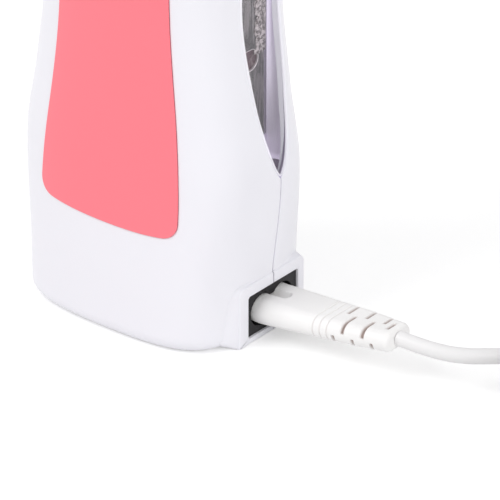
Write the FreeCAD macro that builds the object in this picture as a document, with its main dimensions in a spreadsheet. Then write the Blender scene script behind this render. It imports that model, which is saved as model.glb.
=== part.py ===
import FreeCAD, Part
import Sketcher
import math
import os
import re
from types import SimpleNamespace

from FreeCAD import Placement, Rotation, Vector

# A hand-held heater for roll-on wax cartridges, as a parametric document in millimetres.
# +X points to the mains inlet, -Y to the coloured front panel and +Z up.
# The origin is on the floor, in the plane where the two half shells meet.

SIZES = {
    # Outside of the body: six levels, each with what the skin adds to the well at the side, front and rear
    "base_level": 0.5,
    "foot_level": 14.0,
    "hip_level": 46.0,
    "belly_level": 68.0,
    "waist_level": 96.0,
    "rim_level": 152.0,
    "base_side": 7.0,
    "foot_side": 8.1,
    "hip_side": 11.6,
    "belly_side": 8.5,
    "waist_side": 5.4,
    "rim_side": 8.5,
    "base_front": 12.0,
    "foot_front": 11.4,
    "hip_front": 8.3,
    "belly_front": 6.4,
    "waist_front": 5.7,
    "rim_front": 11.0,
    "base_rear": 9.3,
    "foot_rear": 8.4,
    "hip_rear": 5.0,
    "belly_rear": 4.1,
    "waist_rear": 4.1,
    "rim_rear": 6.5,
    "front_squareness": 3.5,
    "rear_squareness": 2.85,
    "wall": 2.2,
    "floor_wall": 2.4,
    "base_round": 4.0,
    # Anti-slip pad under the base
    "pad_width": 50.0,
    "pad_depth": 36.0,
    "pad_corner": 14.0,
    "pad_thickness": 1.5,
    # Inlet frame and mains socket
    "frame_proud": 2.1,
    "frame_width": 26.0,
    "frame_top": 17.6,
    "frame_round": 2.0,
    "frame_root": 18.0,
    "inlet_width": 20.7,
    "inlet_height": 12.4,
    "inlet_level": 8.05,
    "inlet_corner": 0.8,
    "socket_recess": 0.7,
    "socket_length": 17.0,
    "socket_gap": 0.15,
    "socket_flange": 1.8,
    "socket_flange_lip": 1.6,
    "pin_pitch": 8.6,
    "pin_radius": 1.2,
    "pin_length": 8.5,
    "pin_tail": 5.0,
    "well_lobe_radius": 4.45,
    "well_bridge": 5.9,
    "well_depth": 12.0,
    # Front panel
    "panel_bottom": 32.0,
    "panel_top": 147.5,
    "panel_low_half_width": 22.8,
    "panel_waist_half_width": 18.0,
    "panel_top_half_width": 20.5,
    "panel_corner": 4.6,
    "panel_dip": 1.2,
    "panel_waist_level": 99.0,
    "panel_shoulder": 9.0,
    "panel_thickness": 1.4,
    "panel_proud": 0.4,
    "panel_gap": 0.1,
    # Windows
    "window_bottom": 46.0,
    "window_top": 147.0,
    "window_half_width": 8.5,
    "window_tip_share": 1.33,
    "window_gap": 0.12,
    "window_lip": 1.3,
    "window_lip_thickness": 0.8,
    "window_lip_gap": 0.06,
    # Cartridge well: plate in front, liner behind
    "well_side": 26.0,
    "well_front": 17.0,
    "well_rear": 15.0,
    "well_front_squareness": 4.2,
    "well_rear_squareness": 3.0,
    "well_floor_level": 50.0,
    "well_floor_thickness": 1.2,
    "well_floor_gap": 0.15,
    "well_floor_hole": 3.0,
    "plate_top": 151.7,
    "plate_thickness": 0.6,
    "card_thickness": 0.7,
    "guard_thickness": 0.5,
    "layer_gap": 0.05,
    "guard_edge": 5.3,
    "guard_top": 147.0,
    "guard_hole_bottom": 73.5,
    "guard_hole_height": 7.6,
    "guard_hole_flat": 4.0,
    "guard_hole_reach": 2.6,
    "liner_edge": 6.0,
    "liner_bottom": 46.6,
    "liner_thickness": 1.2,
    "liner_ring_top": 53.4,
    "liner_lip": 1.0,
    "seat_gap": 0.1,
    "shelf_rib": 1.6,
    "shelf_rib_offset": 12.0,
    "shelf_rib_reach": 14.0,
    "shelf_rib_depth": 6.0,
    "foil_width": 4.0,
    "foil_bottom": 79.0,
    "foil_thickness": 0.12,
    "foil_gap": 0.02,
    # Collar and cap
    "collar_flange": 2.0,
    "collar_neck_inset": 1.9,
    "collar_neck_height": 7.0,
    "collar_skirt_depth": 5.0,
    "collar_skirt_gap": 0.15,
    "collar_skirt_wall": 1.4,
    "collar_mouth_gap": 0.3,
    "collar_round": 0.8,
    "cap_gap": 0.3,
    "cap_wall": 1.5,
    "cap_top": 194.0,
    "cap_draft": 2.0,
    "cap_round": 9.0,
    # Power button, its board and the pilot light
    "button_level": 130.0,
    "button_radius": 6.0,
    "button_gap": 0.25,
    "button_proud": 1.2,
    "button_travel": 0.3,
    "button_flange": 1.2,
    "button_flange_thickness": 0.6,
    "lens_level": 141.0,
    "lens_radius": 1.6,
    "lens_proud": 0.4,
    "lens_flange": 0.9,
    "board_width": 26.0,
    "board_height": 28.0,
    "board_thickness": 0.8,
    "board_hole_gap": 0.1,
    "board_level": 131.0,
    "board_back": 19.6,
    "board_hole_margin": 3.0,
    "board_boss_radius": 1.9,
    "board_hole_pitch": 20.0,
    "switch_side": 5.2,
    "switch_height": 0.8,
    "switch_plunger_radius": 1.3,
    "switch_plunger_gap": 0.05,
    "switch_bore_depth": 0.7,
    "led_side": 2.8,
    "led_height": 0.8,
    # Screws
    "boss_radius": 3.2,
    "boss_low_level": 24.0,
    "boss_low_offset": 15.0,
    "boss_high_level": 40.0,
    "boss_high_offset": 24.0,
    "screw_radius": 1.3,
    "screw_length": 13.0,
    "screw_head_radius": 2.5,
    "screw_head_height": 1.8,
    "screw_head_round": 0.6,
    "cross_length": 2.6,
    "cross_width": 0.6,
    "cross_depth": 1.0,
    "screw_hole_gap": 0.25,
    "screw_hole_spare": 2.0,
    "thread_bite": 0.2,
    "screw_bite": 5.0,
    "board_screw_radius": 0.9,
    "board_screw_length": 3.0,
    "board_screw_head_radius": 1.7,
    "board_screw_head_height": 0.55,
    # Thermostat and fuse under the well
    "thermostat_radius": 7.0,
    "thermostat_height": 5.0,
    "thermostat_flange_radius": 8.4,
    "thermostat_flange": 0.8,
    "thermostat_tab_width": 6.3,
    "thermostat_tab_length": 7.0,
    "thermostat_tab_thickness": 0.8,
    "thermostat_tab_offset": 4.0,
    "under_floor_gap": 0.1,
    "fuse_radius": 2.1,
    "fuse_length": 15.0,
    "fuse_offset": 15.0,
    "fuse_lead_radius": 0.5,
    "fuse_lead_length": 5.0,
    # Inside wiring
    "wire_radius": 0.65,
    "wire_hole_gap": 0.3,
    "wire_slack": 2.5,
    "wire_clearance": 7.0,
    "wire_lean": 0.2,
    "wire_bend": 3.0,
    "wire_depth": 19.7,
    "inlet_wire_offset": 3.0,
    "heater_wire_offset": 8.0,
    "heater_wire_drop": 11.0,
    "heater_wire_bend": 0.7,
    # Mains lead: moulded connector, cord, coil and plug
    "nose_lobe_radius": 3.65,
    "nose_depth": 11.0,
    "lead_length": 41.6,
    "lead_tilt": 5.9,
    "grip_start": 8.0,
    "grip_lobe_radius": 3.45,
    "grip_middle": 17.0,
    "grip_middle_spread": 4.2,
    "lead_mid_lobe_radius": 3.15,
    "relief_start": 29.0,
    "relief_spread": 3.6,
    "relief_lobe_radius": 3.1,
    "lead_end_lobe_radius": 2.9,
    "lead_end_spread": 2.5,
    "lead_end_round": 1.2,
    "ring_start": 19.0,
    "ring_pitch": 2.4,
    "ring_width": 0.5,
    "ring_depth": 0.3,
    "slot_start": 28.2,
    "slot_pitch": 3.6,
    "slot_width": 0.9,
    "slot_length": 4.6,
    "slot_depth": 1.0,
    "side_slot_start": 30.0,
    "side_slot_pitch": 4.2,
    "side_slot_length": 4.0,
    "notch_length": 6.0,
    "notch_half_width": 2.6,
    "notch_depth": 1.5,
    "contact_wall": 0.35,
    "contact_gap": 0.06,
    "contact_inset": 0.3,
    "cord_diameter": 4.2,
    "coil_mid_radius": 23.9,
    "coil_half_width": 6.9,
    "coil_height": 17.0,
    "coil_lift": 0.9,
    "coil_x": 138.0,
    "coil_y": 29.0,
    "tie_width": 5.0,
    "tie_thickness": 0.6,
    "tie_gap": 0.25,
    "tie_bearing": 225.0,
    "plug_length": 34.0,
    "plug_thickness": 13.7,
    "plug_width": 34.0,
    "plug_neck_width": 11.0,
    "plug_neck_thickness": 9.0,
    "plug_throat_width": 14.0,
    "plug_throat_thickness": 10.9,
    "plug_shoulder_width": 28.0,
    "plug_shoulder_thickness": 13.0,
    "plug_pin_pitch": 18.6,
    "plug_pin_radius": 2.0,
    "plug_pin_length": 19.0,
    "plug_pin_round": 1.2,
    "plug_pin_root": 6.0,
}

# Route of the cord from the connector's end to the coil, after its first point there.
CORD_ROUTE = [
    (85.4, 0.5, 12.0),
    (93.6, 4.0, 11.3),
    (99.5, 10.9, 10.4),
    (103.3, 19.3, 8.1),
    (106.7, 27.7, 5.1),
    (110.2, 36.0, 3.2),
    (113.6, 43.5, 3.0),
]
# Route of the short end: off the coil's top layer, round over the coil and into the neck of the plug on it.
TAIL_ROUTE = [
    (111.8, 17.9, 15.65),
    (109.4, 26.6, 15.9),
    (110.3, 36.4, 17.0),
    (114.3, 45.2, 18.7),
    (121.0, 52.4, 20.7),
    (130.0, 56.0, 22.5),
    (139.6, 55.0, 23.9),
    (147.6, 49.6, 24.7),
    (152.2, 41.0, 24.85),
    (152.2, 31.5, 24.85),
]

# Farther than any point of the body from its middle, for cuts and bars that go right through it
FAR = 100.0

doc = FreeCAD.newDocument("roll_on_wax_heater")
sheet = doc.addObject("Spreadsheet::Sheet", "sizes")
for row, (alias, number) in enumerate(SIZES.items(), start=1):
    sheet.set(f"A{row}", alias.replace("_", " "))
    sheet.set(f"B{row}", str(number))
    sheet.setAlias(f"B{row}", alias)
doc.recompute()
d = SimpleNamespace(**{alias: float(sheet.get(alias)) for alias in SIZES})

PARTS = []


def bound(text):
    """The expression with each size's name pointed at its cell."""
    return re.sub(r"[a-z][a-z_]*", lambda m: f"sizes.{m.group()}" if m.group() in SIZES else m.group(), text)


def bind(item, **expressions):
    """Ties properties to expressions; x, y and z stand for the base of the placement."""
    for name, text in expressions.items():
        path = f"Placement.Base.{name}" if name in "xyz" else name
        item.setExpression(path, bound(text))
    return item


def part(item, name):
    """Marks an object as a sub-part and gives it the name of its file."""
    item.Label = name
    PARTS.append(item)
    return item


def feature(name, shape, place=None):
    """A sub-part with a computed free-form shape."""
    item = doc.addObject("Part::Feature", name)
    item.Shape = shape
    if place is not None:
        item.Placement = place
    return part(item, name)


def box(name, length, width, height, x, y, z):
    """A block with one corner at x, y, z."""
    item = doc.addObject("Part::Box", name)
    return bind(item, Length=length, Width=width, Height=height, x=x, y=y, z=z)


def cylinder(name, radius, height, x, y, z, along=Vector(0, 0, 1)):
    """A round bar that starts at x, y, z and runs along the given direction."""
    item = doc.addObject("Part::Cylinder", name)
    item.Placement = Placement(Vector(), Rotation(Vector(0, 0, 1), along))
    return bind(item, Radius=radius, Height=height, x=x, y=y, z=z)


def joined(name, items):
    """Several solids fused into one."""
    item = doc.addObject("Part::MultiFuse", name)
    item.Shapes = items
    return item


def grouped(name, items):
    """Several separate solids kept in one node."""
    item = doc.addObject("Part::Compound", name)
    item.Links = items
    return item


def less(name, base, tool):
    """One solid with another taken away."""
    item = doc.addObject("Part::Cut", name)
    item.Base = base
    item.Tool = tool
    return item


# ---------------------------------------------------------------- form of the body

LEVELS = ("base", "foot", "hip", "belly", "waist", "rim")


def smooth(z, side):
    """Reach of the body to the side, front or rear at a height: a cubic curve over the well's own reach."""
    heights = [getattr(d, f"{level}_level") for level in LEVELS]
    values = [getattr(d, f"{level}_{side}") for level in LEVELS]
    spans = [b - a for a, b in zip(heights, heights[1:])]
    slopes = [(b - a) / span for a, b, span in zip(values, values[1:], spans)]
    tangents = [slopes[0]]
    for before, after, low, high in zip(slopes, slopes[1:], spans, spans[1:]):
        level = before * after <= 0
        tangents.append(0 if level else (before * high + after * low) / (low + high))
    tangents.append(slopes[-1])
    index = max(i for i in range(len(spans)) if heights[i] <= z or i == 0)
    span = spans[index]
    t = (z - heights[index]) / span
    return (
        getattr(d, f"well_{side}")
        + (2 * t**3 - 3 * t**2 + 1) * values[index]
        + (t**3 - 2 * t**2 + t) * span * tangents[index]
        + (3 * t**2 - 2 * t**3) * values[index + 1]
        + (t**3 - t**2) * span * tangents[index + 1]
    )


def handle(squareness):
    """Length of a cubic curve's handle that gives a quarter of a superellipse."""
    return (8 * 2 ** (-1 / squareness) - 4) / 3


def quarter(along, across, squareness, z):
    """One quarter of the outline, from the X axis to the Y axis."""
    k = handle(squareness)
    poles = [(along, 0), (along, k * across), (k * along, across), (0, across)]
    curve = Part.BezierCurve()
    curve.setPoles([Vector(x, y, z) for x, y in poles])
    return curve.toShape()


def oval(half_width, front, rear, z, front_square, rear_square):
    """Closed outline with a front and a rear half of their own depth and squareness."""
    edges = [
        quarter(half_width, -front, front_square, z),
        quarter(-half_width, -front, front_square, z),
        quarter(-half_width, rear, rear_square, z),
        quarter(half_width, rear, rear_square, z),
    ]
    return Part.Wire(Part.__sortEdges__(edges))


def body_outline(z, inset=0.0):
    """Plan outline of the body at a height, set in from the skin."""
    return oval(
        smooth(z, "side") - inset,
        smooth(z, "front") - inset,
        smooth(z, "rear") - inset,
        z,
        d.front_squareness,
        d.rear_squareness,
    )


CORE_TOP = d.rim_level + 1.0
CORE_STATIONS = 13


def body_core(inset, low, high):
    """Solid inside of the body's skin between two heights, always lofted through the same stations."""
    step = (CORE_TOP - d.base_level) / (CORE_STATIONS - 1)
    outlines = [body_outline(d.base_level + step * i, inset) for i in range(CORE_STATIONS)]
    core = Part.makeLoft(outlines, True, False)
    if low <= d.base_level and high >= CORE_TOP:
        return core
    slab = Part.makeBox(2 * FAR, 2 * FAR, high - low, Vector(-FAR, -FAR, low))
    return core.common(slab).Solids[0]


def edges_at(shape, z):
    """Edges that lie in one level plane."""
    return [e for e in shape.Edges if all(abs(v.Z - z) < 1e-4 for v in e.Vertexes)]


def half_space(side):
    """A large block on one side of the plane where the shells meet: -1 in front, +1 behind."""
    block = Part.makeBox(2 * FAR, FAR, 3 * FAR)
    block.translate(Vector(-FAR, -FAR if side < 0 else 0, -FAR))
    return block


def curve_between(poles, place):
    """One cubic curve through poles given in the plane of a flat outline."""
    bezier = Part.BezierCurve()
    bezier.setPoles([place(*pole) for pole in poles])
    return bezier.toShape()


def panel_face(grow=0.0):
    """Outline of the front panel in the XZ plane: wide at the foot, narrow at the waist."""
    low = d.panel_low_half_width + grow
    waist = d.panel_waist_half_width + grow
    top = d.panel_top_half_width + grow
    foot, crown, corner = d.panel_bottom - grow, d.panel_top + grow, d.panel_corner
    start = foot + corner + d.panel_dip
    dip, bend = foot + 0.75 * d.panel_dip, foot + d.panel_dip
    neck = d.panel_waist_level
    shoulder = crown - d.panel_shoulder
    rise, climb = neck - start, shoulder - neck
    poles = [
        [(0, foot), (0.3 * low, foot), (0.6 * low, foot + 0.25 * d.panel_dip), (low - corner, dip)],
        [(low - corner, dip), (low - 0.4 * corner, bend), (low, start - 0.6 * corner), (low, start)],
        [(low, start), (low, start + 0.3 * rise), (waist, neck - 0.36 * rise), (waist, neck)],
        [(waist, neck), (waist, neck + 0.3 * climb), (top, shoulder - 0.35 * climb), (top, shoulder)],
        [(top, shoulder), (top, crown - 0.28 * d.panel_shoulder), (0.62 * top, crown), (0, crown)],
    ]
    edges = [
        curve_between(row, lambda x, z, sign=sign: Vector(sign * x, 0, z))
        for sign in (1, -1)
        for row in poles
    ]
    return Part.Face(Part.Wire(Part.__sortEdges__(edges)))


def panel_prism(grow=0.0):
    """The panel's outline carried forward through the front of the body."""
    return panel_face(grow).extrude(Vector(0, -FAR, 0))


def window_prism(side, grow=0.0):
    """A pointed leaf outline on the seam, carried out through one narrow side of the body."""
    low, high = d.window_bottom - d.window_tip_share * grow, d.window_top + d.window_tip_share * grow
    half = d.window_half_width + grow
    middle = (low + high) / 2
    reach = middle - low
    edges = []
    for sign in (-1, 1):
        for tip, way in ((low, 1), (high, -1)):
            poles = [
                (0, tip),
                (sign * 0.54 * half, tip + way * 0.08 * reach),
                (sign * half, middle - way * 0.49 * reach),
                (sign * half, middle),
            ]
            edges.append(curve_between(poles, lambda y, z: Vector(side * 12, y, z)))
    face = Part.Face(Part.Wire(Part.__sortEdges__(edges)))
    return face.extrude(Vector(side * FAR, 0, 0))


# ---------------------------------------------------------------- places worked out once

neck_top = d.rim_level + d.collar_flange + d.collar_neck_height
frame_reach = smooth(d.base_level, "side") + d.frame_proud
inlet_face = frame_reach - d.socket_recess
board_front = d.board_back + d.board_thickness
CASE_BOSSES = [
    (sign * offset, level)
    for offset, level in (
        (d.boss_low_offset, d.boss_low_level),
        (d.boss_high_offset, d.boss_high_level),
    )
    for sign in (-1, 1)
]
board_reach = d.board_height / 2 - d.board_hole_margin
board_hole_levels = [d.board_level - board_reach, d.board_level + board_reach]


def bar(radius, start, direction, length):
    """A plain round bar, for bosses and holes."""
    return Part.makeCylinder(radius, length, start, direction)


# ---------------------------------------------------------------- half shells


def shells():
    """Both half shells, moulded with the inlet frame, the panel's recess and the screw bosses."""
    outer = body_core(0, d.base_level, d.rim_level)
    outer = outer.makeFillet(d.base_round, edges_at(outer, d.base_level))
    inner = body_core(d.wall, d.base_level + d.floor_wall, d.rim_level + 0.01)
    inner = inner.makeFillet(d.base_round - d.wall, edges_at(inner, d.base_level + d.floor_wall))
    frame = Part.makeBox(
        frame_reach - d.frame_root,
        d.frame_width,
        d.frame_top - d.base_level,
        Vector(d.frame_root, -d.frame_width / 2, d.base_level),
    )
    rounded = [
        e
        for e in frame.Edges
        if (e.CenterOfMass.x > frame_reach - 0.01 and e.CenterOfMass.z > d.base_level + 0.1)
        or (e.CenterOfMass.z > d.frame_top - 0.01 and abs(e.CenterOfMass.y) > d.frame_width / 2 - 0.01)
    ]
    frame = frame.makeFillet(d.frame_round, rounded)
    body = outer.fuse(frame).cut(inner)

    bosses = []
    holes = []
    for x, z in CASE_BOSSES:
        bosses.append(bar(d.boss_radius, Vector(x, -FAR, z), Vector(0, 1, 0), 2 * FAR))
        depth = d.screw_bite + d.screw_hole_spare
        head_seat = Vector(x, d.screw_length - d.screw_bite, z)
        holes.append(bar(d.screw_radius - d.thread_bite, Vector(x, -depth, z), Vector(0, 1, 0), depth))
        holes.append(bar(d.screw_radius + d.screw_hole_gap, Vector(x, 0, z), Vector(0, 1, 0), FAR))
        holes.append(bar(d.screw_head_radius + d.screw_hole_gap, head_seat, Vector(0, 1, 0), FAR))
    for x in (-d.board_hole_pitch / 2, d.board_hole_pitch / 2):
        for z in board_hole_levels:
            start = Vector(x, -board_front, z)
            bite = d.board_screw_length - d.board_thickness
            bosses.append(bar(d.board_boss_radius, start, Vector(0, -1, 0), FAR))
            holes.append(bar(d.board_screw_radius - d.thread_bite / 2, start, Vector(0, -1, 0), bite))
    for x in (-d.shelf_rib_offset, d.shelf_rib_offset):
        for y in (-FAR - d.shelf_rib_reach, d.shelf_rib_reach):
            corner = Vector(x - d.shelf_rib / 2, y, d.liner_bottom - d.seat_gap - d.shelf_rib_depth)
            bosses.append(Part.makeBox(d.shelf_rib, FAR, d.shelf_rib_depth, corner))
    solid_body = outer.common(Part.makeCompound(bosses))
    body = body.fuse(solid_body)

    opening_corner = Vector(d.frame_root - d.wall, -d.inlet_width / 2, d.inlet_level - d.inlet_height / 2)
    opening = Part.makeBox(FAR, d.inlet_width, d.inlet_height, opening_corner)
    opening = opening.makeFillet(d.inlet_corner, [e for e in opening.Edges if e.Length > d.inlet_width])
    seat_width = d.inlet_width + 2 * (d.socket_flange_lip + d.socket_gap)
    seat = Part.makeBox(
        d.socket_flange + 2 * d.socket_gap,
        seat_width,
        d.inlet_height,
        Vector(
            inlet_face - d.socket_length - d.socket_gap,
            -seat_width / 2,
            d.inlet_level - d.inlet_height / 2,
        ),
    )
    recess = panel_layer(d.panel_thickness).common(panel_prism(d.panel_gap))
    pad = pad_solid(d.panel_gap)
    cuts = holes + [
        opening,
        seat,
        recess,
        pad,
        window_prism(1),
        window_prism(-1),
    ]
    body = body.cut(cuts + front_holes())
    front = body.common(half_space(-1))
    rear = body.common(half_space(1))
    return largest(front), largest(rear)


def panel_layer(proud):
    """Layer from the floor of the panel's recess out to a height above the skin, all round the body."""
    floor = body_core(d.panel_thickness - d.panel_proud, d.foot_level, d.rim_level)
    return body_core(-proud, d.foot_level + 1, d.rim_level - 1).cut(floor)


def front_holes():
    """Holes for the button and the lens, through panel and shell."""
    sizes = ((d.button_radius + d.button_gap, d.button_level), (d.lens_radius + d.panel_gap, d.lens_level))
    return [bar(radius, Vector(0, 0, level), Vector(0, -1, 0), FAR) for radius, level in sizes]


def largest(shape):
    """The biggest solid of a shape."""
    return max(shape.Solids, key=lambda s: s.Volume)


def pad_solid(grow=0.0):
    """The anti-slip pad, a thin rounded slab under the base."""
    width, depth = d.pad_width + 2 * grow, d.pad_depth + 2 * grow
    slab = Part.makeBox(width, depth, d.pad_thickness, Vector(-width / 2, -depth / 2, 0))
    uprights = [e for e in slab.Edges if abs(e.Vertexes[0].Z - e.Vertexes[1].Z) > 0.5]
    return slab.makeFillet(d.pad_corner, uprights)


front_shell, rear_shell = shells()
feature("front_shell", front_shell)
feature("rear_shell", rear_shell)


def front_panel():
    """Coloured panel, seated in its recess and slightly proud of the shell."""
    panel = panel_layer(d.panel_proud).common(panel_prism())
    return largest(panel.cut(front_holes()))


feature("front_panel", front_panel())


def window(side):
    """Clear moulded window: flush with the skin, with a lip behind the opening."""
    low, high = d.foot_level, d.rim_level - 0.5
    lip_outside = d.wall + d.window_lip_gap
    inside = body_core(lip_outside, low - 1, high + 1)
    skin = body_core(0, low, high).cut(inside)
    lip = inside.cut(body_core(lip_outside + d.window_lip_thickness, low - 2, high + 2))
    pane = skin.common(window_prism(side, -d.window_gap))
    rim = lip.common(window_prism(side, d.window_lip))
    return largest(pane.fuse(rim))


feature("window_right", window(1))
feature("window_left", window(-1))


# ---------------------------------------------------------------- cartridge well


def well_outline(grow, z):
    """Rounded plan of the well, grown outwards."""
    return oval(
        d.well_side + grow,
        d.well_front + grow,
        d.well_rear + grow,
        z,
        d.well_front_squareness,
        d.well_rear_squareness,
    )


def well_prism(grow, low, high):
    """The well's plan carried up between two heights."""
    return Part.Face(well_outline(grow, low)).extrude(Vector(0, 0, high - low))


def well_wall(inside, thickness, low, high, front_edge=None, rear_edge=None):
    """A thin wall that follows the well; it stops at an edge in front of or behind the seam."""
    wall = well_prism(inside + thickness, low, high).cut(well_prism(inside, low - 1, high + 1))
    keep = Part.makeBox(2 * FAR, FAR, 2 * FAR)
    keep.translate(Vector(-FAR, front_edge if rear_edge is None else rear_edge - FAR, 0))
    return wall.common(keep)


card_inside = d.plate_thickness + d.layer_gap
guard_inside = card_inside + d.card_thickness + d.layer_gap
guard_outside = guard_inside + d.guard_thickness

guard_bottom = d.liner_ring_top + d.seat_gap


def heater_layer(inside, thickness, top, setback=0.0):
    """One layer of the heater: a U-shaped sheet round the front half of the well."""
    return well_wall(inside, thickness, guard_bottom, top, rear_edge=d.guard_edge - setback)


feature("heater_plate", largest(heater_layer(0, d.plate_thickness, d.plate_top)))
feature("heater_card", largest(heater_layer(card_inside, d.card_thickness, d.guard_top - 1, 1)))


heater_wire_end = d.board_level - d.board_height / 2 - d.heater_wire_drop


def heat_guard():
    """Outer sheet of the heater, with a D-shaped sight hole in each wing."""
    sheet_metal = heater_layer(guard_inside, d.guard_thickness, d.guard_top)
    reach, height = d.guard_hole_reach, d.guard_hole_height
    middle = d.guard_hole_bottom + height / 2
    round_end = bar(height / 2, Vector(-FAR, reach - height / 2, middle), Vector(1, 0, 0), 2 * FAR)
    flat_low = Vector(-FAR, reach - height / 2 - d.guard_hole_flat, middle - height / 2)
    flat_end = Part.makeBox(2 * FAR, d.guard_hole_flat, height, flat_low)
    wire_holes = [
        bar(d.wire_radius + d.wire_hole_gap, Vector(x, 0, heater_wire_end), Vector(0, -1, 0), FAR)
        for x in (-d.heater_wire_offset, d.heater_wire_offset)
    ]
    return largest(sheet_metal.cut([round_end, flat_end] + wire_holes))


feature("heat_guard", heat_guard())


def rear_liner():
    """White inner moulding: the well's rear wall, and a ring that carries the plates and the tray."""
    wall = well_wall(0, d.liner_thickness, d.liner_ring_top - 1, d.plate_top, front_edge=d.liner_edge)
    ring = well_prism(guard_outside, d.liner_bottom, d.liner_ring_top)
    lip_top = d.well_floor_level - d.well_floor_thickness - d.seat_gap
    ring = ring.cut(
        [
            well_prism(0, lip_top, d.liner_ring_top + 1),
            well_prism(-d.liner_lip, d.liner_bottom - 1, lip_top + 1),
        ]
    )
    return largest(ring.fuse(wall))


feature("rear_liner", rear_liner())


def foil_tapes():
    """A strip of foil tape over the rear edge of each wing of the guard."""
    inside = guard_outside + d.foil_gap
    band = well_wall(inside, d.foil_thickness, d.foil_bottom, d.guard_top, rear_edge=d.guard_edge)
    keep = Part.makeBox(2 * FAR, d.foil_width, 2 * FAR, Vector(-FAR, d.guard_edge - d.foil_width, 0))
    return Part.makeCompound(band.common(keep).Solids)


feature("foil_tapes", foil_tapes())


def well_floor():
    """Pressed tray that closes the well and that the cartridge stands on."""
    level = d.well_floor_level
    tray = well_prism(-d.well_floor_gap, level - d.well_floor_thickness, level)
    return largest(tray.cut(bar(d.well_floor_hole, Vector(0, 0, 0), Vector(0, 0, 1), level + 1)))


feature("well_floor", well_floor())


# ---------------------------------------------------------------- collar and cap


def collar():
    """Ring on the rim of the shells: a flange, a neck for the cap and a skirt inside the shells."""
    rim, flange_top = d.rim_level, d.rim_level + d.collar_flange
    flange = Part.Face(flat_outline(0, rim)).extrude(Vector(0, 0, d.collar_flange))
    neck = Part.Face(flat_outline(d.collar_neck_inset, flange_top))
    neck = neck.extrude(Vector(0, 0, d.collar_neck_height))
    skirt_low = rim - d.collar_skirt_depth
    skirt = body_core(d.wall + d.collar_skirt_gap, skirt_low, rim).cut(
        body_core(d.wall + d.collar_skirt_gap + d.collar_skirt_wall, skirt_low - 1, rim + 1)
    )
    mouth = well_prism(d.collar_mouth_gap, skirt_low - 2, neck_top + 1)
    ring = flange.fuse(neck)
    crown = edges_at(ring, neck_top)
    ring = ring.makeFillet(d.collar_round, crown)
    ring = ring.fuse(skirt)
    windows = [window_prism(side, d.window_lip + d.collar_mouth_gap) for side in (-1, 1)]
    guard = well_prism(guard_outside + d.collar_mouth_gap, skirt_low - 2, d.plate_top + d.collar_mouth_gap)
    return largest(ring.cut([mouth] + windows + [guard]))


def flat_outline(inset, z):
    """Outline of the rim, at another height."""
    rim = body_outline(d.rim_level, inset)
    rim.translate(Vector(0, 0, z - d.rim_level))
    return rim


feature("top_collar", collar())


def cap():
    """Clear cap that slips over the neck, with a slight draft and a rounded crown."""
    low = d.rim_level + d.collar_flange + d.cap_gap
    inset = d.collar_neck_inset - d.cap_gap - d.cap_wall
    span = d.cap_top - low

    def tub(extra, bottom, top):
        levels = [bottom, (bottom + top) / 2, top]
        outlines = [flat_outline(inset + extra + d.cap_draft * ((z - low) / span) ** 2, z) for z in levels]
        return Part.makeLoft(outlines, True, False)

    outer = tub(0, low, d.cap_top)
    outer = outer.makeFillet(d.cap_round, edges_at(outer, d.cap_top))
    inner = tub(d.cap_wall, low, d.cap_top - d.cap_wall)
    inner = inner.makeFillet(d.cap_round - d.cap_wall, edges_at(inner, d.cap_top - d.cap_wall))
    return largest(outer.cut(inner))


feature("clear_cap", cap())

# ---------------------------------------------------------------- sketched parts


def body_of(name):
    """A new body for one sub-part made from sketches."""
    return part(doc.addObject("PartDesign::Body", name), name)


def sketch_in(body, name, role, offset, right="0", up="0"):
    """A sketch on one of the body's own planes, moved out along its normal and across it."""
    plane = next(f for f in body.Origin.OriginFeatures if f.Role == role)
    sketch = body.newObject("Sketcher::SketchObject", name)
    sketch.AttachmentSupport = (plane, [""])
    sketch.MapMode = "FlatFace"
    for axis, text in (("x", right), ("y", up), ("z", offset)):
        sketch.setExpression(f"AttachmentOffset.Base.{axis}", bound(text))
    return sketch


def draw_circle(sketch, radius, right="0", up="0"):
    """A circle at a place in the sketch."""
    index = sketch.addGeometry(Part.Circle(Vector(0, 0, 0), Vector(0, 0, 1), 1.0), False)
    for kind, start, text in (("Radius", 1.0, radius), ("DistanceX", 0.0, right), ("DistanceY", 0.0, up)):
        if kind == "Radius":
            number = sketch.addConstraint(Sketcher.Constraint(kind, index, start))
        elif text == "0":
            place = -2 if kind == "DistanceX" else -1
            number = sketch.addConstraint(Sketcher.Constraint("PointOnObject", index, 3, place))
            continue
        else:
            number = sketch.addConstraint(Sketcher.Constraint(kind, -1, 1, index, 3, 1.0))
        sketch.setExpression(f"Constraints[{number}]", bound(text))


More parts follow.
